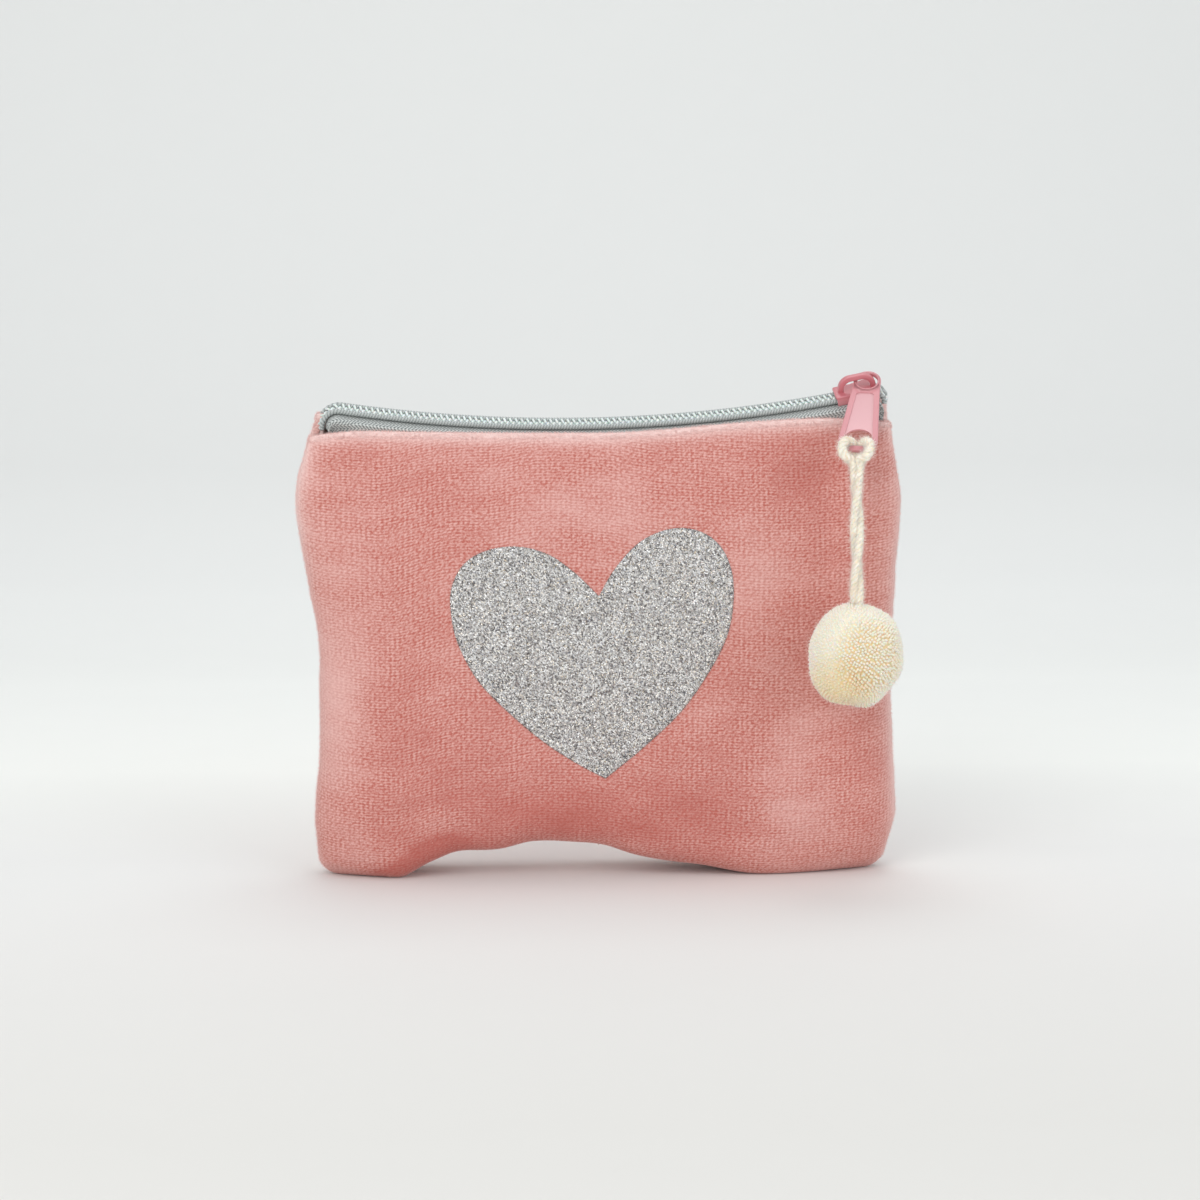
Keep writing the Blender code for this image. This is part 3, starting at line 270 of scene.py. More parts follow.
# Rings of the sheet from its edge inwards: share of its size and of its stand
HEART_RINGS = [(1.0, -0.0001), (1.0, 0.75)]
HEART_RINGS += [(ring, 1.0) for ring in (0.985, 0.93, 0.86, 0.78, 0.69, 0.60)]
HEART_RINGS += [(ring, 1.0) for ring in (0.50, 0.40, 0.30, 0.20, 0.10)]
HEART_LEFT_SHARES = [
    (0.022, 0.735), (-0.065, 0.830), (-0.155, 0.900), (-0.260, 0.932), (-0.370, 0.918),
    (-0.452, 0.865), (-0.496, 0.775), (-0.500, 0.675), (-0.478, 0.555), (-0.415, 0.415),
    (-0.325, 0.300), (-0.190, 0.165), (-0.060, 0.065), (0.045, 0.000),
]
HEART_RIGHT_SHARES = [
    (0.022, 0.735), (0.075, 0.835), (0.145, 0.925), (0.215, 0.975), (0.300, 1.000),
    (0.385, 0.985), (0.452, 0.930), (0.492, 0.835), (0.500, 0.715), (0.478, 0.575),
    (0.412, 0.425), (0.310, 0.265), (0.165, 0.110), (0.045, 0.000),
]

# The paper's painted light and shade, lightest behind the pouch: axis, where one starts and is
# full, and the tint as it shows on a screen
STAGE_FRONT_SHADE = (228, 227, 223)
STAGE_LIGHT_BANDS = [
    (1, -0.20, 0.0, (237, 237, 235)), (1, 0.02, 0.13, (250, 251, 247)),
    (1, 0.13, 0.25, (245, 246, 243)), (1, 0.27, 0.40, (235, 236, 234)),
    (2, 0.012, 0.05, (226, 227, 225)),
]
# The lamps: place, size, power and tint
LAMPS = [
    ("key_lamp", (-0.50, -0.85, 0.60), 0.70, 5.0, (1.0, 0.985, 0.965)),
    ("fill_lamp", (0.75, -0.75, 0.40), 0.80, 2.9, (0.97, 0.985, 1.0)),
    ("back_lamp", (0.05, 0.22, 0.85), 0.50, 1.75, (1.0, 1.0, 1.0)),
]
LAMP_TARGET = (0.0, 0.0, 0.05)
SKY_COLOUR = (0.93, 0.96, 1.0, 1.0)
SKY_STRENGTH = 0.59
CAMERA_PLACE = (-0.0453, -0.7388, 0.1682)
CAMERA_TARGET = (0.0, BAG_BACK, 0.0638)
CAMERA_LENS = 97.1


class Shader:
    """A material whose nodes are made and joined in code."""

    def __init__(self, name):
        self.material = bpy.data.materials.new(name)
        self.material.use_nodes = True
        self.tree = self.material.node_tree
        self.tree.nodes.clear()

    def node(self, kind, inputs, output=0, **settings):
        """Makes a node with its inputs set or linked, and gives one output, or all for None."""
        made = self.tree.nodes.new("ShaderNode" + kind)
        for key, value in settings.items():
            setattr(made, key, value)
        for key, value in inputs.items():
            if isinstance(value, bpy.types.NodeSocket):
                self.tree.links.new(value, made.inputs[key])
            else:
                made.inputs[key].default_value = value
        return made.outputs if output is None else made.outputs[output]

    def uv(self):
        return self.node("UVMap", {})

    def place(self):
        return self.node("TexCoord", {}, "Object")

    def attribute(self, name):
        return self.node("Attribute", {}, "Fac", attribute_name=name)

    def split(self, vector, kind="XYZ"):
        return list(self.node("Separate" + kind, {0: vector}, None))

    def maths(self, operation, a, b=0.0, c=0.0):
        return self.node("Math", {0: a, 1: b, 2: c}, operation=operation)

    def plus(self, a, b):
        return self.maths("ADD", a, b)

    def times(self, a, b):
        return self.maths("MULTIPLY", a, b)

    def fused(self, a, b, c):
        return self.maths("MULTIPLY_ADD", a, b, c)

    def wave(self, value, rate):
        return self.maths("SINE", self.times(value, rate))

    def vector(self, operation, a, b=(0.0, 0.0, 0.0), scale=1.0):
        return self.node("VectorMath", {0: a, 1: b, 3: scale}, operation=operation)

    def scaled(self, vector, scale, turn=0.0):
        inputs = {"Vector": vector, "Scale": scale, "Rotation": (0.0, 0.0, turn)}
        return self.node("Mapping", inputs)

    def noise(self, vector, scale, detail=2.0, roughness=0.5, output=0):
        inputs = {"Vector": vector, "Scale": scale, "Detail": detail, "Roughness": roughness}
        return self.node("TexNoise", inputs, output)

    def cells(self, vector, scale, output="Color", randomness=1.0):
        inputs = {"Vector": vector, "Scale": scale, "Randomness": randomness}
        return self.node("TexVoronoi", inputs, output, voronoi_dimensions="2D")

    def reach(self, value, low, high, start=0.0, end=1.0):
        """Maps a value's range to another range, clamped."""
        return self.node("MapRange", {"Value": value, 1: low, 2: high, 3: start, 4: end})

    def mix(self, factor, a, b):
        """Mixes two colours, each a socket or as it shows on a screen, 0 to 255."""
        a, b = (colour(*tint) if isinstance(tint, tuple) else tint for tint in (a, b))
        return self.node("Mix", {0: factor, 6: a, 7: b}, 2, data_type="RGBA")

    def bump(self, height, distance, strength):
        inputs = {"Height": height, "Distance": distance, "Strength": strength}
        return self.node("Bump", inputs)

    def surface(self, **inputs):
        """Ends the material in a Principled shader, its inputs given by name."""
        names = {"base": "Base Color", "specular": "Specular IOR Level"}
        inputs = {names.get(word, word.replace("_", " ").title()): value
                  for word, value in inputs.items()}
        self.node("OutputMaterial", {"Surface": self.node("BsdfPrincipled", inputs)}, None)
        return self.material


def colour(red, green, blue):
    """A colour given as it shows on a screen, 0 to 255, in linear light."""
    parts = []
    for value in (red, green, blue):
        share = value / 255
        parts.append(share / 12.92 if share <= 0.04045 else ((share + 0.055) / 1.055) ** 2.4)
    return (*parts, 1.0)


def velvet_material():
    """Short pile on a woven ground: tufts in slanting rows, brushed lighter and darker, with
    painted light and shade at places and a painted sheen along its edges.
    """
    s = Shader("velvet")
    uv = s.uv()
    drift = s.noise(s.scaled(uv, (5.0, 7.0, 1.0)), 1.0, output="Color")
    centred = s.vector("SUBTRACT", drift, (0.5, 0.5, 0.5))
    warped = s.split(s.vector("ADD", uv, s.vector("SCALE", centred, scale=0.012)))
    column, row = s.times(warped[0], 86.0), s.times(warped[1], 151.0)
    lattice = s.node("CombineXYZ", {0: s.fused(row, -0.5, column), 1: row})
    blob = s.reach(s.cells(lattice, 1.0, "Distance", 0.5), 0.05, 0.62, 1.0, 0.0)
    patchy = s.reach(s.noise(uv, 26.0), 0.35, 0.65)
    grain = s.noise(uv, 270.0, 1.0, 0.7)
    weave = s.fused(s.wave(row, TURN), 0.09, s.times(s.wave(column, TURN), 0.12))
    loose = s.fused(s.noise(uv, 185.0, 0.0), 0.5, s.times(grain, 0.8))
    height = s.fused(blob, 0.34, s.plus(s.times(weave, patchy), loose))
    base = s.mix(s.reach(height, 0.53, 1.13), (186, 104, 92), (226, 176, 168))
    cloud = s.noise(uv, 3.2, 5.0, 0.55)
    brushed = s.noise(s.scaled(uv, (6.0, 16.0, 1.0)), 1.0, 4.0, 0.6)
    # The pile is lighter and darker by random nap and by the painted light and shade of the
    # table's places
    pile = s.plus(s.times(s.plus(cloud, brushed), 0.9), s.attribute("nap_and_painted_light"))
    napped_and_lit = s.mix(s.reach(pile, 0.90, 1.75, 0.0, 0.7), base, (238, 198, 192))
    shifted_tone = s.mix(s.reach(pile, 0.90, 0.20, 0.0, 0.7), napped_and_lit, (180, 94, 84))
    # A painted sheen that makes the pile pale at the rim and the side seams
    edge_sheen = s.times(s.attribute("rim"), s.reach(grain, 0.25, 0.75, 0.75, 1.05))
    return s.surface(
        base=s.mix(s.times(edge_sheen, 0.9), shifted_tone, (255, 232, 227)), roughness=0.92, specular=0.15,
        sheen_weight=0.5, sheen_roughness=0.38, sheen_tint=colour(255, 214, 208),
        normal=s.bump(height, 0.00022, 0.5))


def fibre_material(name, deep, pale):
    """Fine loose fibres."""
    s = Shader(name)
    speckle = s.noise(s.place(), 900.0, 1.0)
    return s.surface(base=s.mix(speckle, deep, pale), roughness=0.9, specular=0.1,
                     sheen_weight=0.8, sheen_roughness=0.4)


def glitter_material():
    """Chips of silver foil that lie at all angles in clear glue."""
    s = Shader("glitter")
    uv = s.uv()
    leans, tones = [], []
    for scale, tilt in ((345.0, 1.15), (640.0, 0.7)):
        chips = s.cells(uv, scale)
        centred = s.vector("SUBTRACT", chips, (0.5, 0.5, 0.5))
        leans.append(s.vector("SCALE", centred, scale=tilt))
        tones.append(s.split(chips, "Color"))
    facing = s.node("NewGeometry", {}, "Normal")
    normal = s.vector("NORMALIZE", s.vector("ADD", facing, s.vector("ADD", *leans)))
    large, small = tones
    tone = s.plus(s.times(large[0], 0.6), s.times(small[1], 0.4))
    grey = s.mix(s.reach(tone, 0.2, 0.8), (106, 102, 101), (246, 245, 242))
    warm = s.mix(s.reach(large[2], 0.80, 1.0, 0.0, 0.35), grey, (236, 214, 176))
    tinted = s.mix(s.reach(small[0], 0.85, 1.0, 0.0, 0.30), warm, (176, 190, 226))
    return s.surface(base=tinted, metallic=0.80, normal=normal,
                     roughness=s.reach(small[2], 0.0, 1.0, 0.22, 0.48))


def tape_material():
    """Twill zip tape: slanting ribs that turn back in narrow bands."""
    s = Shader("zip_tape")
    uv = s.uv()
    along, across, _ = s.split(uv)
    ribs = s.wave(s.plus(along, s.maths("PINGPONG", across, 0.010)), TURN * 122)
    fuzz = s.noise(uv, 300.0, 3.0, 0.6)
    height = s.fused(ribs, 0.34, s.fused(s.wave(across, TURN * 190), 0.16, fuzz))
    return s.surface(
        base=s.mix(s.reach(height, -0.05, 1.0), (86, 92, 91), (222, 226, 223)),
        roughness=0.8, specular=0.25, sheen_weight=0.15, normal=s.bump(height, 0.00016, 0.9))


def coil_material():
    """Pale nylon wire."""
    s = Shader("zip_coil")
    place = s.place()
    return s.surface(
        base=s.mix(s.noise(place, 260.0), (214, 225, 221), (243, 248, 245)), roughness=0.38,
        subsurface_weight=0.12, subsurface_scale=0.0006,
        normal=s.bump(s.noise(place, 2600.0), 0.00003, 0.4))


def stitch_material():
    """The chain stitches that hold the coil, lying close along its back, with painted shade in
    their grooves.
    """
    s = Shader("zip_stitch")
    uv = s.uv()
    along, across, _ = s.split(uv)
    strands = s.wave(s.fused(across, 0.055, along), TURN * 150)
    plies = s.fused(s.wave(across, 2 * TURN), 0.2, s.noise(uv, 300.0))
    height = s.fused(strands, 0.4, plies)
    groove = s.attribute("groove")
    # Painted shade: darker in the grooves between the strands
    shade = s.fused(groove, 0.65, s.reach(height, -0.1, 1.0, 0.0, 0.35))
    return s.surface(base=s.mix(shade, (114, 122, 120), (212, 217, 215)), roughness=0.6,
                     sheen_weight=0.2, normal=s.bump(height, 0.00010, 0.6))


def thread_material():
    """Spun sewing thread."""
    s = Shader("thread")
    plies = s.noise(s.scaled(s.place(), (900.0, 900.0, 2400.0)), 1.0)
    return s.surface(base=s.mix(plies, (182, 104, 98), (224, 152, 144)), roughness=0.75,
                     normal=s.bump(plies, 0.00005, 0.6))


def lining_material():
    """Plain woven cotton."""
    s = Shader("lining_cotton")
    uv = s.uv()
    across, up, _ = s.split(uv)
    slubs = s.noise(s.scaled(uv, (8.0, 90.0, 1.0)), 1.0, 3.0)
    height = s.fused(s.times(s.wave(across, 1700.0), s.wave(up, 1700.0)), 0.3, slubs)
    return s.surface(
        base=s.mix(s.reach(height, 0.1, 0.9), (214, 206, 192), (240, 236, 226)),
        roughness=0.85, normal=s.bump(height, 0.00012, 0.6))


def enamel_material():
    """Satin enamel on a cast part, lighter at its high places, with painted light on the pull
    tab's faces.
    """
    s = Shader("pink_enamel")
    place = s.place()
    cloud = s.noise(place, 180.0, 3.0)
    shifted_tone = s.reach(s.node("NewGeometry", {}, "Pointiness"), 0.52, 0.60, 0.0, 0.35)
    base = s.mix(cloud, (194, 107, 115), (205, 122, 129))
    # The tab's sunk fields are painted paler, and the rest of the tab a little: painted light on
    # its faces
    field = s.mix(cloud, (214, 162, 167), (221, 171, 174))
    pale = s.mix(s.attribute("field"), base, field)
    return s.surface(
        base=s.mix(shifted_tone, pale, (236, 178, 181)),
        roughness=s.reach(cloud, 0.3, 0.7, 0.30, 0.42), coat_weight=0.25, coat_roughness=0.25,
        normal=s.bump(s.noise(place, 1500.0), 0.00002, 0.5))


def yarn_material():
    """Soft cream yarn with its fibres along the plies."""
    s = Shader("cream_yarn")
    fibres = s.noise(s.scaled(s.uv(), (60.0, 14.0, 1.0), 0.35), 1.0, 4.0, 0.65)
    base = s.mix(s.reach(fibres, 0.3, 0.6), (248, 220, 178), (255, 251, 243))
    cloud = s.reach(s.noise(s.place(), 240.0), 0.5, 0.9, 0.0, 0.4)
    return s.surface(
        base=s.mix(cloud, base, (250, 224, 184)), roughness=0.9, specular=0.15,
        sheen_weight=0.5, sheen_roughness=0.4, subsurface_weight=0.15, subsurface_scale=0.001,
        normal=s.bump(fibres, 0.00015, 0.7))


def tuft_material():
    """The pompom's yarn ends: pale tips, with a painted warm shade towards their roots, between
    them.
    """
    s = Shader("pompom_yarn")
    fine = s.noise(s.place(), 1400.0)
    pale = s.mix(fine, (255, 238, 217), (255, 248, 237))
    # deep is the painted warm shade between the yarn ends
    deep = s.mix(s.noise(s.place(), 130.0), (246, 208, 152), (250, 222, 180))
    return s.surface(
        base=s.mix(s.reach(s.attribute("tip"), 0.20, 0.98), deep, pale), roughness=0.9,
        specular=0.12, sheen_weight=0.4, sheen_roughness=0.4, subsurface_weight=0.35,
        subsurface_scale=0.002, normal=s.bump(fine, 0.0001, 0.5))


def stage_material():
    """Plain pale paper with painted light and shade: lightest behind the pouch, a little darker
    in front and above.
    """
    s = Shader("paper")
    place = s.place()
    axes = s.split(place)
    shade = STAGE_FRONT_SHADE
    for axis, low, high, tint in STAGE_LIGHT_BANDS:
        shade = s.mix(s.reach(axes[axis], low, high), shade, tint)
    grain = s.times(s.noise(place, 60.0), 0.02)
    return s.surface(base=s.mix(grain, shade, (180, 180, 178)), roughness=0.85, specular=0.15)


def linked(name, data):
    """An object in the scene."""
    made = bpy.data.objects.new(name, data)
    bpy.context.scene.collection.objects.link(made)
    return made


def add_piece(name, mesh, material, body, node=None):
    """Adds a mesh about the bag's middle, with its body and the node it replaces."""
    piece = linked(name, mesh)
    piece.location.y = BAG_BACK
    mesh.materials.append(material)
    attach(piece, body)
    if node is not None:
        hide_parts(node)
    return piece


def make_mesh(name, points, faces, uvs=None):
    """A smooth mesh from points, faces and one texture place for each point."""
    mesh = bpy.data.meshes.new(name)
    mesh.from_pydata([tuple(point) for point in points], [], [tuple(face) for face in faces])
    if uvs is not None:
        layer = mesh.uv_layers.new(name="UVMap")
        corners = np.empty(len(mesh.loops), dtype=np.int32)
        mesh.loops.foreach_get("vertex_index", corners)
        layer.uv.foreach_set("vector", np.asarray(uvs, dtype=np.float32)[corners].ravel())
    mesh.shade_smooth()
    mesh.update()
    return mesh


def paint(mesh, name, values, domain="POINT"):
    """Stores a number for each point or face, which a material reads."""
    layer = mesh.attributes.new(name, "FLOAT", domain)
    layer.data.foreach_set("value", np.ravel(values).astype(np.float32))


def thicken(piece, thickness, offset):
    """Gives a sheet its thickness."""
    modifier = piece.modifiers.new("thickness", "SOLIDIFY")
    modifier.thickness = thickness
    modifier.offset = offset


def grid_faces(rows, columns, start=0, round_columns=False, flip=False):
    """Quads of a grid of points, which may close on itself across."""
    faces = []
    for r in range(rows - 1):
        for c in range(columns if round_columns else columns - 1):
            after = (c + 1) % columns
            low, high = start + r * columns, start + (r + 1) * columns
            face = (low + c, low + after, high + after, high + c)
            faces.append(face[::-1] if flip else face)
    return faces


def repeated_faces(kinds, copies, points_each):
    """The faces of a small shape for each of its copies, one kind of face after another."""
    starts = np.arange(copies)[:, None, None] * points_each
    faces = []
    for kind in kinds:
        faces += (np.array(kind)[None] + starts).reshape(-1, len(kind[0])).tolist()
    return faces


def unit(vectors):
    """Vectors of length one, along the last axis."""
    return vectors / np.maximum(np.linalg.norm(vectors, axis=-1, keepdims=True), 1e-12)


def held_share(value, low, high):
    """How far values are from low to high, from 0 to 1."""
    return np.clip((value - low) / (high - low), 0.0, 1.0)


def smooth_value(table, place):
    """Reads a table of (place, value) rows with a smooth curve through its points."""
    if place <= table[0][0]:
        return table[0][1]
    if place >= table[-1][0]:
        return table[-1][1]
    row = 0
    while table[row + 1][0] < place:
        row += 1
    before, start, end = table[max(row - 1, 0)], table[row], table[row + 1]
    after = table[min(row + 2, len(table) - 1)]
    span = end[0] - start[0]
    share = (place - start[0]) / span
    slope_in = (end[1] - before[1]) / (end[0] - before[0]) * span
    slope_out = (after[1] - start[1]) / (after[0] - start[0]) * span
    square, cube = share**2, share**3
    return (
        (2 * cube - 3 * square + 1) * start[1] + (cube - 2 * square + share) * slope_in
        + (3 * square - 2 * cube) * end[1] + (cube - square) * slope_out
    )


def smooth_points(points, steps):
    """Points of a smooth curve through the given ones, with the given steps between two."""
    given = np.array([tuple(point) for point in points], dtype=float)
    count = len(given)
    found = []
    for i in range(count - 1):
        before, start = given[max(i - 1, 0)], given[i]
        end, after = given[i + 1], given[min(i + 2, count - 1)]
        for t in (step / steps for step in range(steps)):
            square = (2 * before - 5 * start + 4 * end - after) * t**2
            cube = (3 * start - 3 * end + after - before) * t**3
            found.append(0.5 * (2 * start + (end - before) * t + square + cube))
    found.append(given[-1])
    return np.array(found)


def half_width_at(height, right):
    """Half the bag's width at a height, on its right or its left."""
    table = RIGHT_OUTLINE_SHARES if right else LEFT_OUTLINE_SHARES
    return smooth_value(table, height / RIM_HEIGHT) * HALF_WIDTH


def corner_inset_at(height):
    """How far the rounding of the lower corners draws the sides in at a height."""
    rise = 1 - min(height / CORNER_RADIUS, 1.0)
    return CORNER_RADIUS * (1 - math.sqrt(1 - rise**2))


def rim_height_at(x, side):
    """Height of the front panel's top edge (side -1), or of the back panel's (side 1)."""
    rise = -RIM_ROLL
    if side > 0:
        corner = max(abs(x) / HALF_WIDTH - BACK_CORNER_START, 0.0) / (1 - BACK_CORNER_START)
        rise += BACK_RIM_RISE + BACK_CORNER_RISES[1 if x > 0 else 0] * corner
    return smooth_value(RIM_SHARES, x / HALF_WIDTH) * RIM_HEIGHT + rise


def bottom_height_at(x):
    """Height of the bag's lower edge, just below the floor at the feet."""
    lift = smooth_value(BOTTOM_SHARES, x / HALF_WIDTH)
    return lift * (BOTTOM_LIFT + FOOT_SINK) - FOOT_SINK


def panel_rows(side, steps):
    """Finely spaced rows of height share, depth and height share at the side seam."""
    rim = RIM_DEPTHS[side]
    rows = [(up, HALF_DEPTH * out, seam) for up, out, seam in LOWER_SECTION_SHARES]
    rows += [
        (up, rim + (HALF_DEPTH - rim) * out, seam) for up, out, seam in UPPER_SECTION_SHARES
    ]
    return smooth_points(rows, steps)


def panel_grid(side, steps, count):
    """Points of a panel's outer surface, row by row from the bottom seam to the rim."""
    rows = panel_rows(side, steps)
    shares = np.linspace(-1.0, 1.0, count)
    columns = np.sign(shares) * (1 - (1 - np.abs(shares)) ** COLUMN_CROWDING)
    lows = [bottom_height_at(c * HALF_WIDTH) for c in columns]
    highs = [rim_height_at(c * HALF_WIDTH, side) for c in columns]
    grid = np.empty((len(rows), count, 3))
    for r, (up, depth, seam) in enumerate(rows):
        up, seam = max(up, 0.0), max(seam, 0.0)
        sharpness = SIDE_SHARPNESS + (RIM_SHARPNESS - SIDE_SHARPNESS) * up**6
        for c, column in enumerate(columns):
            full = max(1 - abs(column) ** sharpness, 0.0) ** (1 / sharpness)
            share = full * up + (1 - full) * seam
            z = max(lows[c] + (highs[c] - lows[c]) * share, 0.0)
            inset = corner_inset_at(z) * abs(column) ** 3
            x = column * (half_width_at(z, column > 0) - inset)
            y = side * (SEAM_HALF_GAP + max(depth - SEAM_HALF_GAP, 0.0) * full)
            grid[r, c] = (x, y, z)
    return grid


def grid_normals(grid, side):
    """Outward directions of a panel's grid."""
    normal = unit(np.cross(np.gradient(grid, axis=1), np.gradient(grid, axis=0)))
    outward = np.sign(normal[..., 1:2] * side)
    return normal * np.where(outward == 0, 1, outward)


def places_at(table, x, z, across):
    """Sums a table of soft round places, their own places across the bag times a factor."""
    total = np.zeros(x.shape)
    for cx, cz, wide, tall, value in table:
        total += value * np.exp(-(((x - cx * across) / wide) ** 2) - ((z - cz) / tall) ** 2)
    return total


def swell_at(grid, side):
    """How far the soft hollows and swells move a panel's surface out."""
    x, z = grid[..., 0], grid[..., 2]
    total = places_at(VELVET_SWELLS, x, z, 1 if side < 0 else -0.9)
    total += 0.00022 * np.sin(x * 190 + z * 70 + side) * np.sin(z * 150 - x * 60 + 0.7)
    total += 0.00012 * np.sin(x * 420 - z * 210) * np.sin(z * 380 + x * 130 + side)
    rim, foot = held_share(z, 0.1035, 0.0955), held_share(z, 0.0, 0.006)
    return total * rim * foot * np.clip((np.abs(grid[..., 1]) - SEAM_HALF_GAP) / 0.005, 0.0, 1.0)


def row_lengths(grid, axis):
    """Lengths along a grid's rows or columns at each of its points."""
    steps = np.linalg.norm(np.diff(grid, axis=axis), axis=2)
    return np.insert(np.cumsum(steps, axis=axis), 0, 0.0, axis=axis)


def cloth_uvs(grid):
    """Texture places from lengths measured along the cloth, in texture units."""
    u, v = row_lengths(grid, 1), row_lengths(grid, 0)
    row, column = grid.shape[0] // 2, grid.shape[1] // 2
    u, v = u - u[:, column:column + 1], v - v[row:row + 1]
    return np.stack([u, v], axis=2) / TEXTURE_UNIT


def edge_sheen_at(grid, rim_row):
    """How near a panel's rim and its side seams each point of its grid is, for the painted sheen
    there.
    """
    run = row_lengths(grid, 0)
    rim = np.exp(-np.maximum(run[rim_row:rim_row + 1] - run, 0.0) / RIM_SHEEN)
    x = np.abs(grid[..., 0])
    far = np.max(x, axis=1, keepdims=True)
    return np.maximum(rim, SIDE_SHEEN_SHARE * np.exp(-((far - x) / SIDE_SHEEN)))


def velvet_grid(side, grid, normal):
    """A panel's whole grid: its surface, its rim turned in, and its edges drawn together."""
    edge = grid[-1]
    out = unit(normal[-1] * (1, 1, 0))
    turned = []
    for step in range(1, 8):
        angle = math.pi * step / 7
        rise = np.array([0.0, 0.0, RIM_ROUNDING * 1.2 * math.sin(angle)])
        turned.append(edge - out * RIM_ROUNDING * (1 - math.cos(angle)) + rise)
    for back in (2, 4, 7):
        turned.append(grid[-1 - back] - normal[-1 - back] * VELVET_THICKNESS)
    inner = grid[0].copy()
    inner[:, 1] = side * DRAWN_GAP
    inner[:, 2] += BOTTOM_TUCK
    whole = np.concatenate([inner[None], grid, np.array(turned)], axis=0)
    strips = []
    for column, inwards in ((0, 1), (-1, -1)):
        strip = whole[:, column].copy()
        high = np.clip((strip[:, 2] - BACK_CORNER_LOW) / 0.003, 0.0, 1.0)
        strip[:, 0] += inwards * (SIDE_TUCK + BACK_CORNER_TUCK * (side > 0) * high)
        strip[:, 1] = side * DRAWN_GAP
        strips.append(strip[:, None])
    return np.concatenate([strips[0], whole, strips[1]], axis=1)


def make_velvet(side, material, pile):
    """A velvet panel with its loose pile. Returns the grid of its outer surface."""
    word = WORDS[side]
    grid = panel_grid(side, 10, 221)
    grid = grid + grid_normals(grid, side) * swell_at(grid, side)[..., None]
    grid[..., 2] = np.maximum(grid[..., 2], 0.0)
    whole = velvet_grid(side, grid, grid_normals(grid, side))
    rows, columns = whole.shape[:2]
    faces = grid_faces(rows, columns, flip=side > 0)
    name = "velvet_" + word
    mesh = make_mesh(name, whole.reshape(-1, 3), faces, cloth_uvs(whole).reshape(-1, 2))
    # Brushed nap and painted light and shade, from the table's places
    paint(mesh, "nap_and_painted_light", places_at(NAP_AND_PAINTED_LIGHT_PLACES, whole[..., 0], whole[..., 2], -side))
    # A painted sheen along the rim and the side seams
    paint(mesh, "rim", edge_sheen_at(whole, len(grid)))
    add_piece(name, mesh, material, "bag", word + "_panel")
    across = np.abs(np.linspace(-1.0, 1.0, columns))[None, :]
    chance = 0.03 + 2.0 * np.clip((across - 0.90) / 0.08, 0.0, 1.0) * np.ones((rows, 1))
    chance[len(grid) - 2:-3] += 8.0
    chance[-3:] = chance[:1] = 0.0
    make_pile("pile_" + word, whole, chance, PILE_FIBRES[side], pile, 20 + side)
    return grid


def make_seam_threads(outer, material):
    """The threads along the sides and the bottom, drawn in between the panels' edges."""
    left, right, low = outer[:, 0].copy(), outer[:, -1].copy(), outer[0, 4:-4].copy()
    left[:, 0] += SEAM_INSET
    right[:, 0] -= SEAM_INSET
    low[:, 2] += SEAM_INSET
    for word, line in (("left", left), ("right", right), ("bottom", low)):
        line[:, 1] = 0.0
        line[:, 2] = np.maximum(line[:, 2], SEAM_THREAD / 2)
        name = "seam_stitches_" + word
        mesh = tubes_mesh(name, [(fine_path(line[::3], 0.0012), SEAM_THREAD / 2, 8)])
        add_piece(name, mesh, material, "bag", word + "_seam_thread")


def grid_tree(grid):
    """A search tree of a grid of points."""
    points = [Vector(point) for point in grid.reshape(-1, 3)]
    return BVHTree.FromPolygons(points, grid_faces(*grid.shape[:2]))


def depth_at(tree, side, x, z):
    """How far a panel's outer surface lies from the middle plane, and its direction."""
    hit, normal, _, _ = tree.ray_cast(Vector((x, side * 0.03, z)), Vector((0.0, -side, 0.0)))
    return (None, None) if hit is None else (abs(hit.y), normal)


def make_lining(side, material):
    """A lining panel inside the velvet one."""
    grid = panel_grid(side, 3, 61)
    grid = grid - grid_normals(grid, side) * LINING_GAP
    share = np.clip(grid[..., 2] / RIM_HEIGHT, 0.0, 1.0)
    grid[..., 2] += LINING_LIFT * (1 - share) ** 12 - LINING_DROP * share**12
    grid[..., 2] = np.maximum(grid[..., 2], LINING_LIFT)
    grid[..., 1] = side * np.maximum(side * grid[..., 1], 0.0006)
    faces = grid_faces(*grid.shape[:2], flip=side > 0)
    name = "cotton_" + WORDS[side]
    mesh = make_mesh(name, grid.reshape(-1, 3), faces, cloth_uvs(grid).reshape(-1, 2))
    node = WORDS[side] + "_lining"
    thicken(add_piece(name, mesh, material, "bag", node),
            LINING_THICKNESS, -1.0)


def heart_outline():
    """Points round the heart as (x, z), starting at the notch."""
    halves = []
    for shares in (HEART_RIGHT_SHARES, HEART_LEFT_SHARES[::-1]):
        points = [(HEART_X + across * HEART_WIDTH, HEART_BOTTOM + up * HEART_HEIGHT)
                  for across, up in shares]
        halves.append(smooth_points(points, 8)[:-1])
    return np.concatenate(halves)


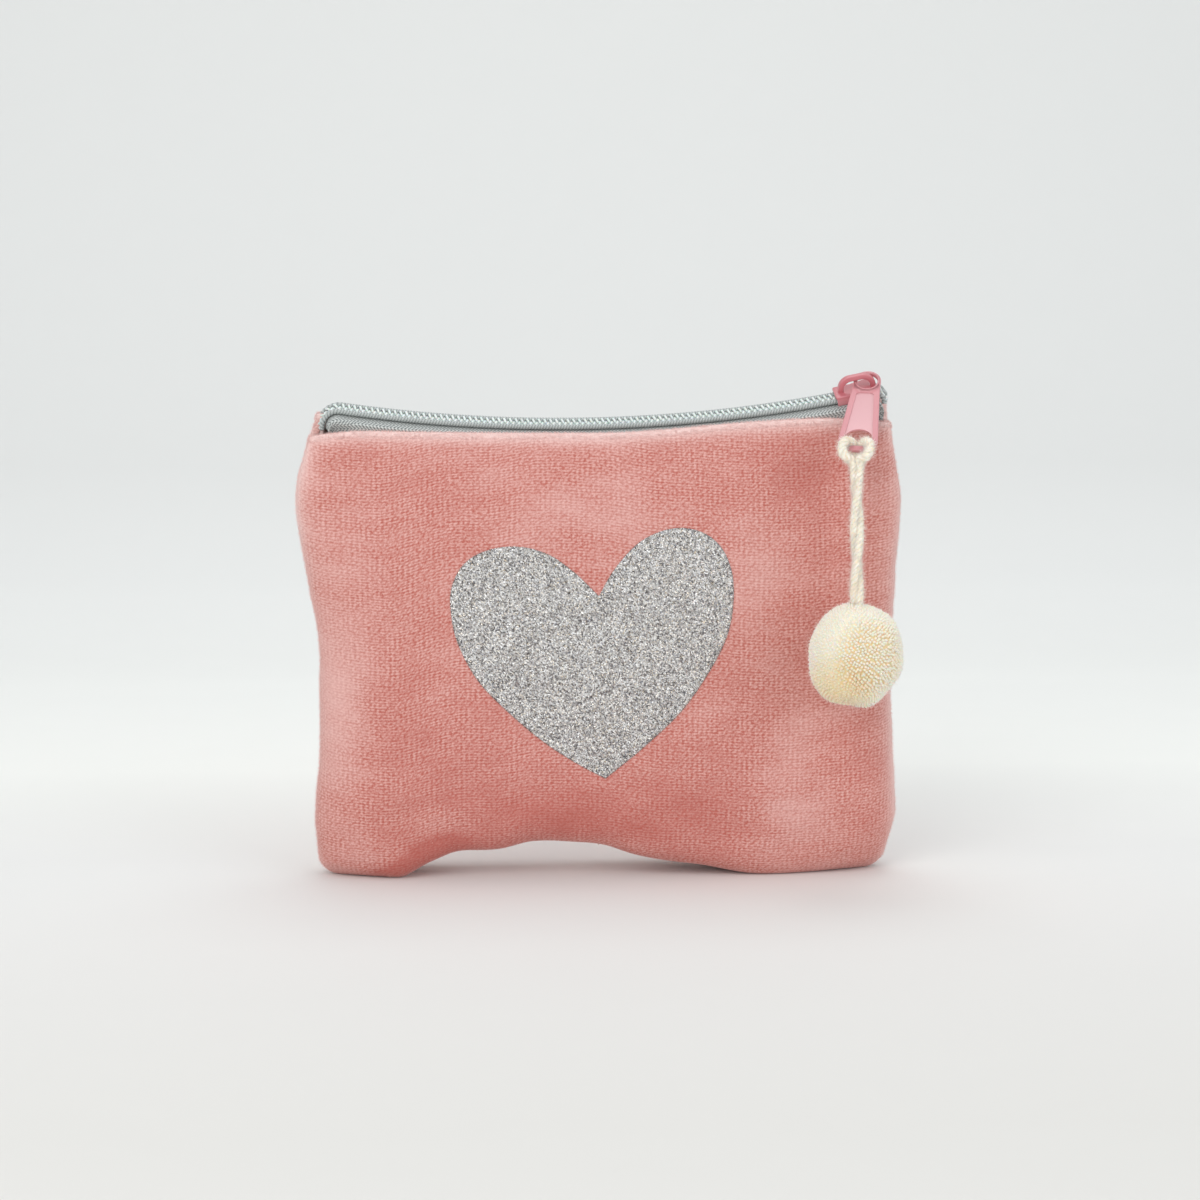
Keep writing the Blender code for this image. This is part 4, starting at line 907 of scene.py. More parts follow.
def make_heart(tree, material):
    """The glitter heart, a thin sheet that follows the velvet."""
    outline = heart_outline()
    count = len(outline)
    centre = np.array([HEART_X, HEART_BOTTOM + 0.52 * HEART_HEIGHT])
    spots = [(spot, stand) for ring, stand in HEART_RINGS
             for spot in centre + (outline - centre) * ring] + [(centre, 1.0)]
    points, uvs = [], []
    for (x, z), stand in spots:
        points.append((x, -depth_at(tree, -1, x, z)[0] - HEART_STAND * stand, z))
        uvs.append((x / TEXTURE_UNIT, z / TEXTURE_UNIT))
    faces = grid_faces(len(HEART_RINGS), count, round_columns=True)
    last = len(points) - 1
    faces += [(last - count + i, last - count + (i + 1) % count, last) for i in range(count)]
    mesh = make_mesh("glitter_heart", points, faces, uvs)
    shape = bmesh.new()
    shape.from_mesh(mesh)
    bmesh.ops.recalc_face_normals(shape, faces=shape.faces)
    shape.faces.ensure_lookup_table()
    if shape.faces[-1].normal.y > 0:
        bmesh.ops.reverse_faces(shape, faces=shape.faces)
    shape.to_mesh(mesh)
    shape.free()
    add_piece("glitter_heart", mesh, material, "bag", "heart_applique")


def turned_end(heading, extra, radius):
    """How far a zip's end goes on and up past the arc, and its heading there."""
    length = radius * (math.pi / 2 + heading)
    turned = heading - min(extra, length) / radius
    on = radius * (math.sin(heading) - math.sin(turned))
    up = radius * (math.cos(turned) - math.cos(heading))
    return on, up - max(extra - length, 0.0), turned


def zip_frame(place):
    """The zip's middle and its directions along, across and up, at a length along its line."""
    held = min(max(place, ZIP_LEFT), ZIP_RIGHT)
    heading = held / ZIP_RADIUS
    x = ZIP_LOW_X + ZIP_RADIUS * math.sin(heading)
    z = ZIP_LOW_HEIGHT + ZIP_RADIUS * (1 - math.cos(heading))
    if place > held:
        on, up, heading = turned_end(heading, place - held, ZIP_RIGHT_TURN)
        x, z = x + on, z + up
    elif place < held:
        on, up, mirrored = turned_end(-heading, held - place, ZIP_LEFT_TURN)
        x, z, heading = x - on, z + up, -mirrored
    along = Vector((math.cos(heading), 0.0, math.sin(heading)))
    roll = ZIP_ROLL * (1 - abs(heading - held / ZIP_RADIUS) / math.pi)
    across = Matrix.Rotation(roll, 3, along) @ Vector((0.0, 1.0, 0.0))
    return Vector((x, 0.0, z)), along, across, along.cross(across)


def zip_point(place, lateral, height):
    """A point given along the zip, across it and above its tape."""
    middle, _, across, up = zip_frame(place)
    return middle + across * lateral + up * height


def zip_matrix(place):
    """Places a frame on the zip: X along it, Y across it and Z away from its tape."""
    middle, *ways = zip_frame(place)
    return Matrix.Translation(middle) @ Matrix(ways).transposed().to_4x4()


def zip_places(steps):
    """Evenly spaced places along the whole zip."""
    return [ZIP_START + (ZIP_END - ZIP_START) * i / steps for i in range(steps + 1)]


def coil_spread_at(place):
    """How far a coil half is pushed aside by the post in the slider."""
    start = SLIDER_PLACE - SLIDER_LENGTH * 0.12
    end = SLIDER_PLACE + SLIDER_LENGTH * 0.22
    share = min(max((place - start) / (end - start), 0.0), 1.0)
    return COIL_SPREAD * share**2 * (3 - 2 * share)


def tube_parts(start, path, radius, sides):
    """Points, faces and texture places of a round bar along a path, with closed ends."""
    path = np.asarray(path, dtype=float)
    count = len(path)
    radii = np.broadcast_to(radius, (count,))
    ways = unit(np.gradient(path, axis=0))
    first = np.cross(ways[0], (0.0, 1.0, 0.0))
    if np.linalg.norm(first) < 0.1:
        first = np.cross(ways[0], (1.0, 0.0, 0.0))
    points, uvs = [], []
    runs = run_lengths(path) / TEXTURE_UNIT
    for i, run in enumerate(runs):
        first = unit(first - ways[i] * np.dot(first, ways[i]))
        second = np.cross(ways[i], first)
        for k in range(sides + 1):
            angle = TURN * k / sides
            out = first * math.cos(angle) + second * math.sin(angle)
            points.append(path[i] + out * radii[i])
            uvs.append((run, k / sides))
    faces = grid_faces(count, sides + 1, start)
    for end, flip in ((0, False), (count - 1, True)):
        middle = start + len(points)
        points.append(path[end])
        uvs.append((runs[end], 0.5))
        for a in range(start + end * (sides + 1), start + end * (sides + 1) + sides):
            faces.append((a, a + 1, middle) if flip else (a + 1, a, middle))
    return points, faces, uvs


def tubes_mesh(name, runs):
    """One mesh of several round bars, each given by its path, its radius and its sides."""
    points, faces, uvs = [], [], []
    for run in runs:
        more_points, more_faces, more_uvs = tube_parts(len(points), *run)
        points += more_points
        faces += more_faces
        uvs += more_uvs
    return make_mesh(name, points, faces, uvs)


def make_coil(side, coil, stitch):
    """One side's wound wire, and the band of stitches over its back."""
    word = WORDS[side]
    wire = COIL_WIRE / 2
    reach = (COIL_HALF_WIDTH + TOOTH_REACH) / 2 - wire
    middle = COIL_HALF_WIDTH - wire - reach
    rise = (COIL_TOP - COIL_BOTTOM) / 2 - wire
    height = (COIL_TOP + COIL_BOTTOM) / 2
    path = []
    for place in zip_places(int((ZIP_END - ZIP_START) / COIL_PITCH * STEPS_A_TURN)):
        angle = TURN * (place - ZIP_START) / COIL_PITCH + math.pi * (side > 0)
        lateral = middle + reach * math.cos(angle) + coil_spread_at(place)
        path.append(zip_point(place, side * lateral, height + rise * math.sin(angle)))
    name = "coil_wire_" + word
    mesh = tubes_mesh(name, [(path, wire, 7)])
    add_piece(name, mesh, coil, "bag", word + "_coil")
    places = zip_places(1400)
    band = []
    for place in places:
        lateral = COIL_HALF_WIDTH - STITCH_INSET + coil_spread_at(place)
        band.append(zip_point(place, side * lateral, height - 0.00002))
    sides = 14
    points, faces, uvs = tube_parts(0, band, STITCH_RADIUS, sides)
    grooves = np.full(len(points), 0.5)
    for number in range(len(band) * (sides + 1)):
        ring, k = divmod(number, sides + 1)
        groove = math.sin(TURN * (2 * places[ring] / COIL_PITCH + 2 * k / sides))
        out = Vector(points[number]) - band[ring]
        points[number] = band[ring] + out * (1 + STITCH_DEPTH * groove)
        grooves[number] = 0.5 + 0.5 * groove
    name = "coil_stitch_" + word
    mesh = make_mesh(name, points, faces, uvs)
    paint(mesh, "groove", grooves)
    add_piece(name, mesh, stitch, "bag")


def tape_section(place, side, tree):
    """The tape's section: flat past the slider's reach, then down inside the velvet."""
    flat = zip_point(place, side * TAPE_FLAT, 0.0)
    points = [zip_point(place, side * (TAPE_EDGE + coil_spread_at(place)), 0.0), flat]
    room = min(place - ZIP_LEFT, ZIP_RIGHT - place) / TAPE_MARGIN
    foot = zip_point(min(max(place, ZIP_LEFT), ZIP_RIGHT), side * TAPE_FLAT, -TAPE_LIP)
    deep = side * min(abs(foot.y), RIM_DEPTHS[side] - VELVET_THICKNESS - TAPE_INSET / 2)
    foot = Vector((flat.x, deep, min(foot.z, flat.z - TAPE_THICKNESS)))
    lips = [flat.lerp(foot, step / 3) for step in (1, 2, 3)]
    splay = TAPE_SPLAY * min(max(-room * TAPE_MARGIN / ZIP_RIGHT_TURN, 0.0), 1.0)
    if place <= ZIP_RIGHT:
        splay = -splay if side > 0 else 0.0
    for lip in lips:
        lip.x += splay
    share = min(max(room, 0.0), 1.0)
    if share == 0.0:
        return points + lips
    under = zip_point(place, side * NOSE_HALF_WIDTH, PLATE_BOTTOM - PLATE_THICKNESS)
    high = min(under.z, flat.z - 0.0006)
    top = min(rim_height_at(flat.x, side), high) - 0.0005
    wing = RIM_DEPTHS[side] - TAPE_INSET
    out = min(max(room - 1.0, 0.0), 1.0)
    sewn = []
    for z in (top, top - TAPE_MARGIN):
        depth, normal = depth_at(tree, side, flat.x, z)
        depth = wing if depth is None else depth - TAPE_INSET / abs(normal.y)
        depth = max(wing + (depth - wing) * out, 0.0005)
        sewn.append(Vector((flat.x, side * depth, z)))
    sewn.insert(0, Vector((flat.x, side * min(wing, abs(sewn[0].y)), high)))
    return points + [lip + (spot - lip) * share for lip, spot in zip(lips, sewn)]


def make_tape(side, tree, material):
    """One side's woven tape."""
    rows = []
    for place in zip_places(300):
        section = smooth_points(tape_section(place, side, tree), 5)
        ripple = 0.00006 * math.sin(place * 900 + side) + 0.00005 * math.sin(place * 410)
        section[:, 1] -= side * abs(ripple) * np.linspace(0.0, 1.0, len(section)) ** 0.6
        rows.append(section)
    grid = np.array(rows)
    name = "woven_tape_" + WORDS[side]
    faces = grid_faces(*grid.shape[:2], flip=side < 0)
    uvs = cloth_uvs(grid)[..., ::-1].reshape(-1, 2)
    mesh = make_mesh(name, grid.reshape(-1, 3), faces, uvs)
    node = WORDS[side] + "_tape"
    thicken(add_piece(name, mesh, material, "bag", node), TAPE_THICKNESS, 0.0)


def scatter(grid, normal, chance, count, seed):
    """Random places on a grid's surface and their outward directions, by each cell's chance."""
    rng = np.random.default_rng(seed)
    low = grid[:-1, :-1]
    area = np.linalg.norm(np.cross(grid[1:, :-1] - low, grid[:-1, 1:] - low), axis=2)
    weight = (area * chance[:-1, :-1]).ravel()
    pick = rng.choice(len(weight), count, p=weight / weight.sum())
    r, c = np.divmod(pick, grid.shape[1] - 1)
    up, across = rng.random((count, 1)), rng.random((count, 1))

    def blended(values):
        near = values[r, c] * (1 - across) + values[r, c + 1] * across
        far = values[r + 1, c] * (1 - across) + values[r + 1, c + 1] * across
        return near * (1 - up) + far * up

    return blended(grid), unit(blended(normal))


def hair_parts(roots, ways, lengths, radius, bend, seed, segments=3):
    """Points and faces of tapered three-sided fibres that start at roots and curl a little."""
    rng = np.random.default_rng(seed)
    curl = rng.normal(size=(len(roots), 3))
    curl = unit(curl - ways * np.sum(curl * ways, axis=1, keepdims=True))
    second = np.cross(ways, curl)
    rings = []
    for t in (step / segments for step in range(segments + 1)):
        middle = roots + (ways * t + curl * bend * t**2) * lengths[:, None]
        thick = radius * (1 - 0.8 * t)
        for angle in (TURN * k / 3 for k in range(3)):
            rings.append(middle + (curl * math.cos(angle) + second * math.sin(angle)) * thick)
    points = np.stack(rings, axis=1).reshape(-1, 3)
    quads = grid_faces(segments + 1, 3, round_columns=True)
    ends = [(2, 1, 0), (segments * 3, segments * 3 + 1, segments * 3 + 2)]
    return points, repeated_faces([quads, ends], len(roots), (segments + 1) * 3)


def make_pile(name, grid, chance, count, material, seed):
    """Loose pile that stands out of a velvet panel, mostly at its edges."""
    rng = np.random.default_rng(seed + 100)
    normal = np.cross(np.gradient(grid, axis=1), np.gradient(grid, axis=0))
    if grid[0, 0, 1] + grid[grid.shape[0] // 2, grid.shape[1] // 2, 1] > 0:
        normal = -normal
    roots, ways = scatter(grid, normal, chance, count, seed)
    ways = unit(ways + rng.normal(scale=0.35, size=ways.shape))
    lengths = PILE_LENGTH * (0.45 + 0.75 * rng.random(count))
    points, faces = hair_parts(roots - ways * 0.00005, ways, lengths, 0.000035, 0.5, seed)
    points[:, 2] = np.maximum(points[:, 2], 0.0)
    add_piece(name, make_mesh(name, points, faces), material, "bag")


def arc_points(centre_x, centre_y, radius, start, end, steps):
    """Points of an arc between two angles in degrees."""
    angles = [math.radians(start + (end - start) * step / steps) for step in range(steps + 1)]
    return [(centre_x + radius * math.cos(angle), centre_y + radius * math.sin(angle))
            for angle in angles]


def flat_mesh(outlines, thickness, bevel, rise=0.0):
    """A plate with rounded edges and the given closed outlines, the inner ones as holes."""
    curve = bpy.data.curves.new("plate", "CURVE")
    curve.dimensions = "2D"
    curve.fill_mode = "BOTH"
    curve.extrude = thickness / 2 - bevel
    curve.bevel_depth = bevel
    curve.bevel_resolution = 2
    curve.offset = -bevel
    for outline in outlines:
        spline = curve.splines.new("POLY")
        spline.points.add(len(outline) - 1)
        spline.use_cyclic_u = True
        for point, place in zip(spline.points, outline):
            point.co = (*place, 0.0, 1.0)
    source = linked("plate", curve)
    mesh = settled(source)
    bpy.data.objects.remove(source)
    shape = bmesh.new()
    shape.from_mesh(mesh)
    bmesh.ops.remove_doubles(shape, verts=shape.verts, dist=1e-6)
    bmesh.ops.recalc_face_normals(shape, faces=shape.faces)
    shape.to_mesh(mesh)
    shape.free()
    mesh.transform(Matrix.Translation((0.0, 0.0, rise)))
    return mesh


def settled(source):
    """An object's mesh with its modifiers applied."""
    bpy.context.view_layer.update()
    graph = bpy.context.evaluated_depsgraph_get()
    return bpy.data.meshes.new_from_object(source.evaluated_get(graph))


def combined(first, others, operation="UNION"):
    """A mesh joined with others, or with the others cut away."""
    body = linked("body", first)
    helpers = []
    for mesh in others:
        helpers.append(linked("helper", mesh))
        modifier = body.modifiers.new("join", "BOOLEAN")
        modifier.operation = operation
        modifier.object = helpers[-1]
    result = settled(body)
    for piece in [body, *helpers]:
        bpy.data.objects.remove(piece)
    return result


def add_casting(name, mesh, matrix, material, body, node):
    """Adds an enamelled casting, smooth but for its corners."""
    mesh.transform(matrix)
    mesh.materials.clear()
    add_piece(name, mesh, material, body, node)
    mesh.shade_smooth()
    mesh.set_sharp_from_angle(angle=math.radians(38))


def mirrored(half, across=True):
    """Half an outline followed by its mirror image."""
    turned = (-1, 1) if across else (1, -1)
    return [(turned[0] * x, turned[1] * y) for x, y in reversed(half)]


def plate_outline():
    """The slider plate's outline: narrow where the closed zip leaves it and wide at its nose."""
    end = SLIDER_LENGTH / 2
    rear = REAR_CHANNEL + FLANGE_THICKNESS
    step = FLANGE_THICKNESS
    tail = end + SLIDER_TAIL
    nose = NOSE_HALF_WIDTH
    half = [
        (-tail, rear - step), (-tail + step * 0.3, rear - step * 0.3), (step - tail, rear),
        (-SLIDER_LENGTH * 0.14, rear), (SLIDER_LENGTH * 0.03, (rear + nose) / 2),
        (SLIDER_LENGTH * 0.20, nose), (SLIDER_LENGTH * 0.34, nose),
        (end - step * 0.7, nose - step), (end - step * 0.15, nose - 2 * step),
        (end, nose - 3 * step),
    ]
    return half + mirrored(half, across=False)


def flange_outline(side):
    """A flange under the top plate's edge, which keeps the coil in the slider."""
    inner = [
        (FLANGE_THICKNESS / 2 - SLIDER_LENGTH / 2 - SLIDER_TAIL, REAR_CHANNEL),
        (-SLIDER_LENGTH * 0.14, REAR_CHANNEL),
        (SLIDER_LENGTH * 0.20, NOSE_CHANNEL), (SLIDER_LENGTH * 0.34, NOSE_CHANNEL),
    ]
    outer = [(x, y + FLANGE_THICKNESS) for x, y in reversed(inner)]
    return [(x, side * y) for x, y in inner + outer]


def arch_outline():
    """The bridge's outline, seen from the side of the slider."""
    low = -2 * PLATE_OVERLAP
    rings = []
    for inset, corner in ((0.0, BRIDGE_CORNER), (BRIDGE_WIRE, BRIDGE_CORNER - BRIDGE_WIRE * 0.8)):
        half = BRIDGE_SPAN / 2 - inset
        top = (BRIDGE_INNER_HEIGHT if inset else BRIDGE_INNER_HEIGHT + BRIDGE_WIRE) - corner
        ring = [(half, low)] + arc_points(half - corner, top, corner, 0, 90, 10)
        ring += arc_points(corner - half, top, corner, 90, 180, 10) + [(-half, low)]
        rings.append(ring)
    return rings[0] + rings[1][::-1]


def make_slider(material):
    """The cast slider: two plates joined by a post, flanges round the coil, and a bridge."""
    thick, upper = PLATE_THICKNESS, TOP_THICKNESS
    top, lower = (flat_mesh([plate_outline()], tall, PLATE_BEVEL, rise)
                  for tall, rise in ((upper, PLATE_TOP + upper / 2),
                                     (thick, PLATE_BOTTOM - thick / 2)))
    low, high = TAPE_THICKNESS / 2 + CHANNEL_GAP, PLATE_TOP + PLATE_OVERLAP
    flanges = [flat_mesh([flange_outline(side)], high - low, 0.00012, (low + high) / 2)
               for side in (-1, 1)]
    wide, end = POST_HALF_WIDTH, SLIDER_LENGTH / 2 - FLANGE_THICKNESS
    half = end - POST_LENGTH / 2
    post = [(end - POST_LENGTH, 0.0), (half, wide), (end, wide), (end, -wide), (half, -wide)]
    tall = PLATE_TOP - PLATE_BOTTOM + 2 * PLATE_OVERLAP
    pillar = flat_mesh([post], tall, 0.00005, (PLATE_TOP + PLATE_BOTTOM) / 2)
    bridge = flat_mesh([arch_outline()], BRIDGE_WIDTH, 0.00024)
    bridge.transform(Matrix.Rotation(math.pi / 2, 4, "X"))
    bridge.transform(Matrix.Translation((0.0, 0.0, PLATE_TOP + upper)))
    mesh = combined(top, [lower, *flanges, pillar, bridge])
    place = zip_matrix(SLIDER_PLACE)
    add_casting("cast_slider", mesh, place, material, "slider", "slider_body")


def tab_pivot():
    """The middle of the tab's ring, in the slider's frame. The bridge's right leg is in it."""
    leg = BRIDGE_SPAN / 2 - BRIDGE_WIRE / 2
    inside = TAB_HOLE_RADIUS - TAB_LEG_GAP - BRIDGE_WIRE / 2
    return Vector((leg - inside, -TAB_FORWARD, TAB_HANG))


def tab_matrix():
    """Places the tab's own frame: X across it, -Y down its length and Z out of its front."""
    fall = TAB_LEAN + ZIP_ROLL
    down = Vector((0.0, -math.sin(fall), -math.cos(fall)))
    face = Vector((0.0, -math.cos(fall), math.sin(fall)))
    length_axis = Matrix.Rotation(-TAB_TURN, 3, face) @ down
    across = face.cross(length_axis)
    turned = Matrix((across, -length_axis, face)).transposed().to_4x4()
    return zip_matrix(SLIDER_PLACE) @ Matrix.Translation(tab_pivot()) @ turned


def settled_tab_matrix():
    """Places the tab and the hitch: a little lower on the bridge than the joint's axis."""
    lower = zip_matrix(SLIDER_PLACE).to_3x3() @ Vector(TAB_SETTLE)
    return Matrix.Translation(lower) @ tab_matrix()


def tab_outline():
    """The tab's outline: a ring at the top, widening to a foot with cut corners."""
    foot, low, cut = TAB_FOOT_WIDTH / 2, -TAB_LENGTH, TAB_CHAMFER
    half = [
        (foot - cut, low), (foot - cut * 0.6, low + cut * 0.25),
        (foot - cut / 4, low + cut * 0.7), (foot - cut * 0.06, low + cut * 1.15),
        (foot, low + cut * 1.6), (TAB_WAIST / 2, -TAB_RING_RADIUS * 0.9),
    ]
    return half + arc_points(0.0, 0.0, TAB_RING_RADIUS, -10, 190, 28) + mirrored(half)


def slot_outline():
    """The slot at the tab's foot: straight over the bar and round above."""
    half, cut = TAB_SLOT_WIDTH / 2, TAB_CHAMFER / 3
    low, rise = -TAB_LENGTH + TAB_BAR, TAB_SLOT_HEIGHT / 2
    points = [(-half + cut, low), (half - cut, low), (half, low + cut)]
    for angle in (math.pi * step / 16 for step in range(17)):
        high = low + rise + (TAB_SLOT_HEIGHT - rise) * math.sin(angle)
        points.append((half * math.cos(angle), high))
    return points + [(-half, low + cut)]


def field_outline():
    """The sunk field between the tab's ring and its slot, with its top slightly bowed."""
    top_half, low_half = TAB_WAIST / 2 - TAB_BORDER, TAB_FOOT_WIDTH / 2 - TAB_BORDER
    top = -TAB_RING_RADIUS - TAB_BORDER * 0.6
    low = -TAB_LENGTH + TAB_BAR + TAB_SLOT_HEIGHT * 0.3
    points = [(-low_half, low), (low_half, low)]
    for share in (1 - 2 * step / 12 for step in range(13)):
        points.append((top_half * share, top - TAB_BORDER * 0.3 * share**4))
    return points


def make_tab(material):
    """The pull tab, with a sunk field on each face and a raised ring round its hole."""
    hole = arc_points(0.0, 0.0, TAB_HOLE_RADIUS, 0, 352, 44)
    mesh = flat_mesh([tab_outline(), hole, slot_outline()], TAB_THICKNESS, 0.00016)
    rise = TAB_THICKNESS / 2
    fields = [flat_mesh([field_outline()], 2 * TAB_RECESS, 0.00008, face * rise)
              for face in (1, -1)]
    mesh = combined(mesh, fields, "DIFFERENCE")
    circle = arc_points(0.0, 0.0, TAB_HOLE_RADIUS + 0.0003, 0, 360, 60)
    rings = [tubes_mesh("ring", [([(x, y, face * (rise - 0.00004)) for x, y in circle],
                                  0.00018, 10)]) for face in (1, -1)]
    mesh = combined(mesh, rings)
    # Paler sunk fields and a slightly paler tab: painted light on its faces
    sunk = [abs(abs(face.center.z) - (rise - TAB_RECESS)) < TAB_RECESS / 4
            for face in mesh.polygons]
    paint(mesh, "field", np.where(sunk, 1.0, 0.35), "FACE")
    add_casting("cast_tab", mesh, settled_tab_matrix(), material, "tab", "pull_tab")


def hang_direction():
    """The direction in which the cord hangs from the tab's bar to the pompom's place."""
    bar = tab_matrix() @ Vector((0.0, -TAB_LENGTH, 0.0))
    return Vector((-POMPOM_SHIFT, -POMPOM_DEPTH - bar.y, -CORD_LENGTH)).normalized()


def cord_neck():
    """The middle between the two strands where they leave the bar, in the tab's frame."""
    out = math.hypot(TAB_SOLID, TAB_BAR) / 2 + YARN_DIAMETER / 2
    down = tab_matrix().to_3x3().inverted() @ hang_direction()
    return Vector((0.0, -TAB_LENGTH - YARN_DIAMETER, 0.15 * out)) + down * YARN_DIAMETER


def hitch_route():
    """The yarn's way round the tab's bar, from one strand under it to the other."""
    neck = cord_neck()
    half = [(YARN_DIAMETER * 0.48, neck.y, neck.z)]
    half += [(x, y - TAB_LENGTH, z) for x, y, z in HITCH_TURNS]
    return half + [(-x, y, z) for x, y, z in reversed(half)]


def cord_top():
    """Where the two strands under the hitch come together and the free cord starts."""
    return tab_matrix() @ cord_neck() + hang_direction() * 0.0003


def pompom_top():
    """Where the cord enters the pompom."""
    top = cord_top()
    out = -POMPOM_DEPTH - top.y
    drop = math.sqrt(CORD_LENGTH**2 - out**2 - POMPOM_SHIFT**2)
    return top + Vector((-POMPOM_SHIFT, out, -drop))


def knot_centre():
    """The middle of the knot that holds the pompom."""
    return pompom_top() + Vector((0.0, 0.0, KNOT_DIAMETER / 2 + KNOT_GAP - POMPOM_BORE_DEPTH))


def cord_route():
    """The free cord's middle, from the hitch to the knot in the pompom, with a slight bow."""
    start, end = cord_top(), pompom_top()
    points = []
    for share in (step / 24 for step in range(25)):
        point = start + (end - start) * share
        point.y -= CORD_BOW * math.sin(math.pi * share)
        points.append(point)
    foot = knot_centre() + Vector((0.0, 0.0, KNOT_DIAMETER / 2 + KNOT_GAP))
    return points + [end + (foot - end) * share for share in (0.33, 0.67, 1.0)]


def side_directions(path):
    """Two directions square to a path at each of its points, carried on without twisting."""
    ways = unit(np.gradient(path, axis=0))
    first = np.cross(ways[0], (0.0, 1.0, 0.0))
    firsts = []
    for way in ways:
        first = unit(first - way * np.dot(first, way))
        firsts.append(first)
    return np.array(firsts), np.cross(ways, firsts)


def strand_at(path, angles, offset):
    """A path that winds round another one."""
    first, second = side_directions(path)
    offset = np.broadcast_to(offset, (len(path),))[:, None]
    return path + (first * np.cos(angles)[:, None] + second * np.sin(angles)[:, None]) * offset


def run_lengths(path):
    """Lengths along a path at each of its points."""
    return np.insert(np.cumsum(np.linalg.norm(np.diff(path, axis=0), axis=1)), 0, 0.0)


def fine_path(points, step):
    """A smooth path with points about a step apart."""
    path = smooth_points(points, 12)
    run = run_lengths(path)
    spots = np.linspace(0.0, run[-1], max(int(run[-1] / step), 2))
    return np.stack([np.interp(spots, run, path[:, k]) for k in range(3)], axis=1)


def yarn_plies(path, radius, phase=0.0):
    """The three plies of a strand of yarn, as runs for a mesh of round bars."""
    run = run_lengths(path)
    swell = 1 + 0.06 * np.sin(run * 2100 + phase) + 0.05 * np.sin(run * 930 + 2 * phase)
    runs = []
    for ply in range(3):
        angles = TURN * (run / PLY_TURN + ply / 3) + phase
        runs.append((strand_at(path, angles, radius * 0.42), radius * 0.60 * swell, 9))
    return runs


def yarn_fuzz(paths, radius, count, seed):
    """Loose fibres that stand out of strands of yarn."""
    rng = np.random.default_rng(seed)
    roots, ways = [], []
    for path in paths:
        first, second = side_directions(path)
        along = unit(np.gradient(path, axis=0))
        pick = rng.integers(0, len(path), count // len(paths))
        angle = rng.random(len(pick))[:, None] * 2 * math.pi
        out = first[pick] * np.cos(angle) + second[pick] * np.sin(angle)
        roots.append(path[pick] + out * radius * 0.8)
        ways.append(out + along[pick] * rng.normal(scale=0.9, size=(len(pick), 1)))
    roots, ways = np.concatenate(roots), unit(np.concatenate(ways))
    lengths = 0.0003 + 0.0009 * rng.random(len(roots)) ** 1.5
    return hair_parts(roots, ways, lengths, 0.000030, 0.7, seed)


def make_yarn(name, paths, radius, fibres, body, node, materials, seed):
    """Strands of twisted yarn and their loose fibres, as two pieces."""
    runs = [run for k, path in enumerate(paths) for run in yarn_plies(path, radius, 1.7 * k)]
    strands = add_piece(name, tubes_mesh(name, runs), materials[0], body, node)
    mesh = make_mesh(name + "_fuzz", *yarn_fuzz(paths, radius, fibres, seed))
    return strands, add_piece(name + "_fuzz", mesh, materials[1], body)


def lumpy(way):
    """How far the pompom's surface lies out in a direction, with its corners and flats."""
    out = smooth_value(POMPOM_LUMPS, math.degrees(math.atan2(way.z, way.x)) % 360)
    weight = math.hypot(way.x, way.z) ** 2
    wave = 0.02 * math.sin(3.1 * way.x + 1.3) * math.cos(4.7 * way.z)
    return 1 + (out - 1) * weight + wave * (1 - weight) - 0.008


def facing_at(ways, towards, low, high):
    """How nearly directions point one way, from 0 to 1."""
    return held_share(ways @ np.array(Vector(towards).normalized()), low, high)


def dotted_at(ways):
    """Where the pompom's yarn ends stand apart, from 0 to 1; elsewhere they lie close."""
    return facing_at(ways, (0.30, -0.93, 0.06), 0.55, 0.85)


def warm_shade_at(ways):
    """Where the pompom faces down, forward and to its left, and its yarn is painted a warm shade.
    """
    return facing_at(ways, (-0.45, -0.60, -0.66), 0.60, 1.0)


def spread_ways(count, rng):
    """Directions spread evenly over a ball and moved about a little."""
    turn = math.pi * (3 - math.sqrt(5))
    ways = []
    for i in range(count):
        z = 1 - 2 * (i + 0.5) / count
        flat = math.sqrt(1 - z * z)
        ways.append((flat * math.cos(turn * i), flat * math.sin(turn * i), z))
    return unit(np.array(ways) + rng.normal(scale=0.0105, size=(count, 3)))


def make_tufts(ways, reach, middle, size, lean):
    """The pompom's yarn ends, each a short six-sided tuft with a domed tip."""
    sides = 6
    first = unit(np.cross(ways, (0.31, 0.77, 0.55)))
    second = np.cross(ways, first)
    rings, tips = [], []
    for out, wide, tip in TUFT_PROFILE:
        centre = middle + ways * size * (reach * out)[:, None] + lean * (out - 0.8) * 0.004
        for k in range(sides):
            angle = TURN * (k + 0.5 * (wide < 0.3)) / sides
            side = first * math.cos(angle) + second * math.sin(angle)
            rings.append(centre + side * wide * 0.001)
            tips.append(np.full(len(ways), tip))
    rings.append(middle + ways * size * (reach * 1.006)[:, None])
    tips.append(np.full(len(ways), 1.0))
    # Painted shade: darker towards the roots, most where the ends stand apart, and warm on the
    # underside
    shades = 1 - (1 - np.stack(tips, axis=1)) * (0.35 + 0.65 * dotted_at(ways))[:, None]
    shades -= warm_shade_at(ways)[:, None] * 0.5
    last = len(TUFT_PROFILE) * sides
    top = last - sides
    kinds = [grid_faces(len(TUFT_PROFILE), sides, round_columns=True),
             [(top + k, top + (k + 1) % sides, last) for k in range(sides)],
             [tuple(range(sides - 1, -1, -1))]]
    faces = repeated_faces(kinds, len(ways), last + 1)
    mesh = make_mesh("pompom_tufts", np.stack(rings, axis=1).reshape(-1, 3), faces)
    paint(mesh, "tip", shades)
    return mesh


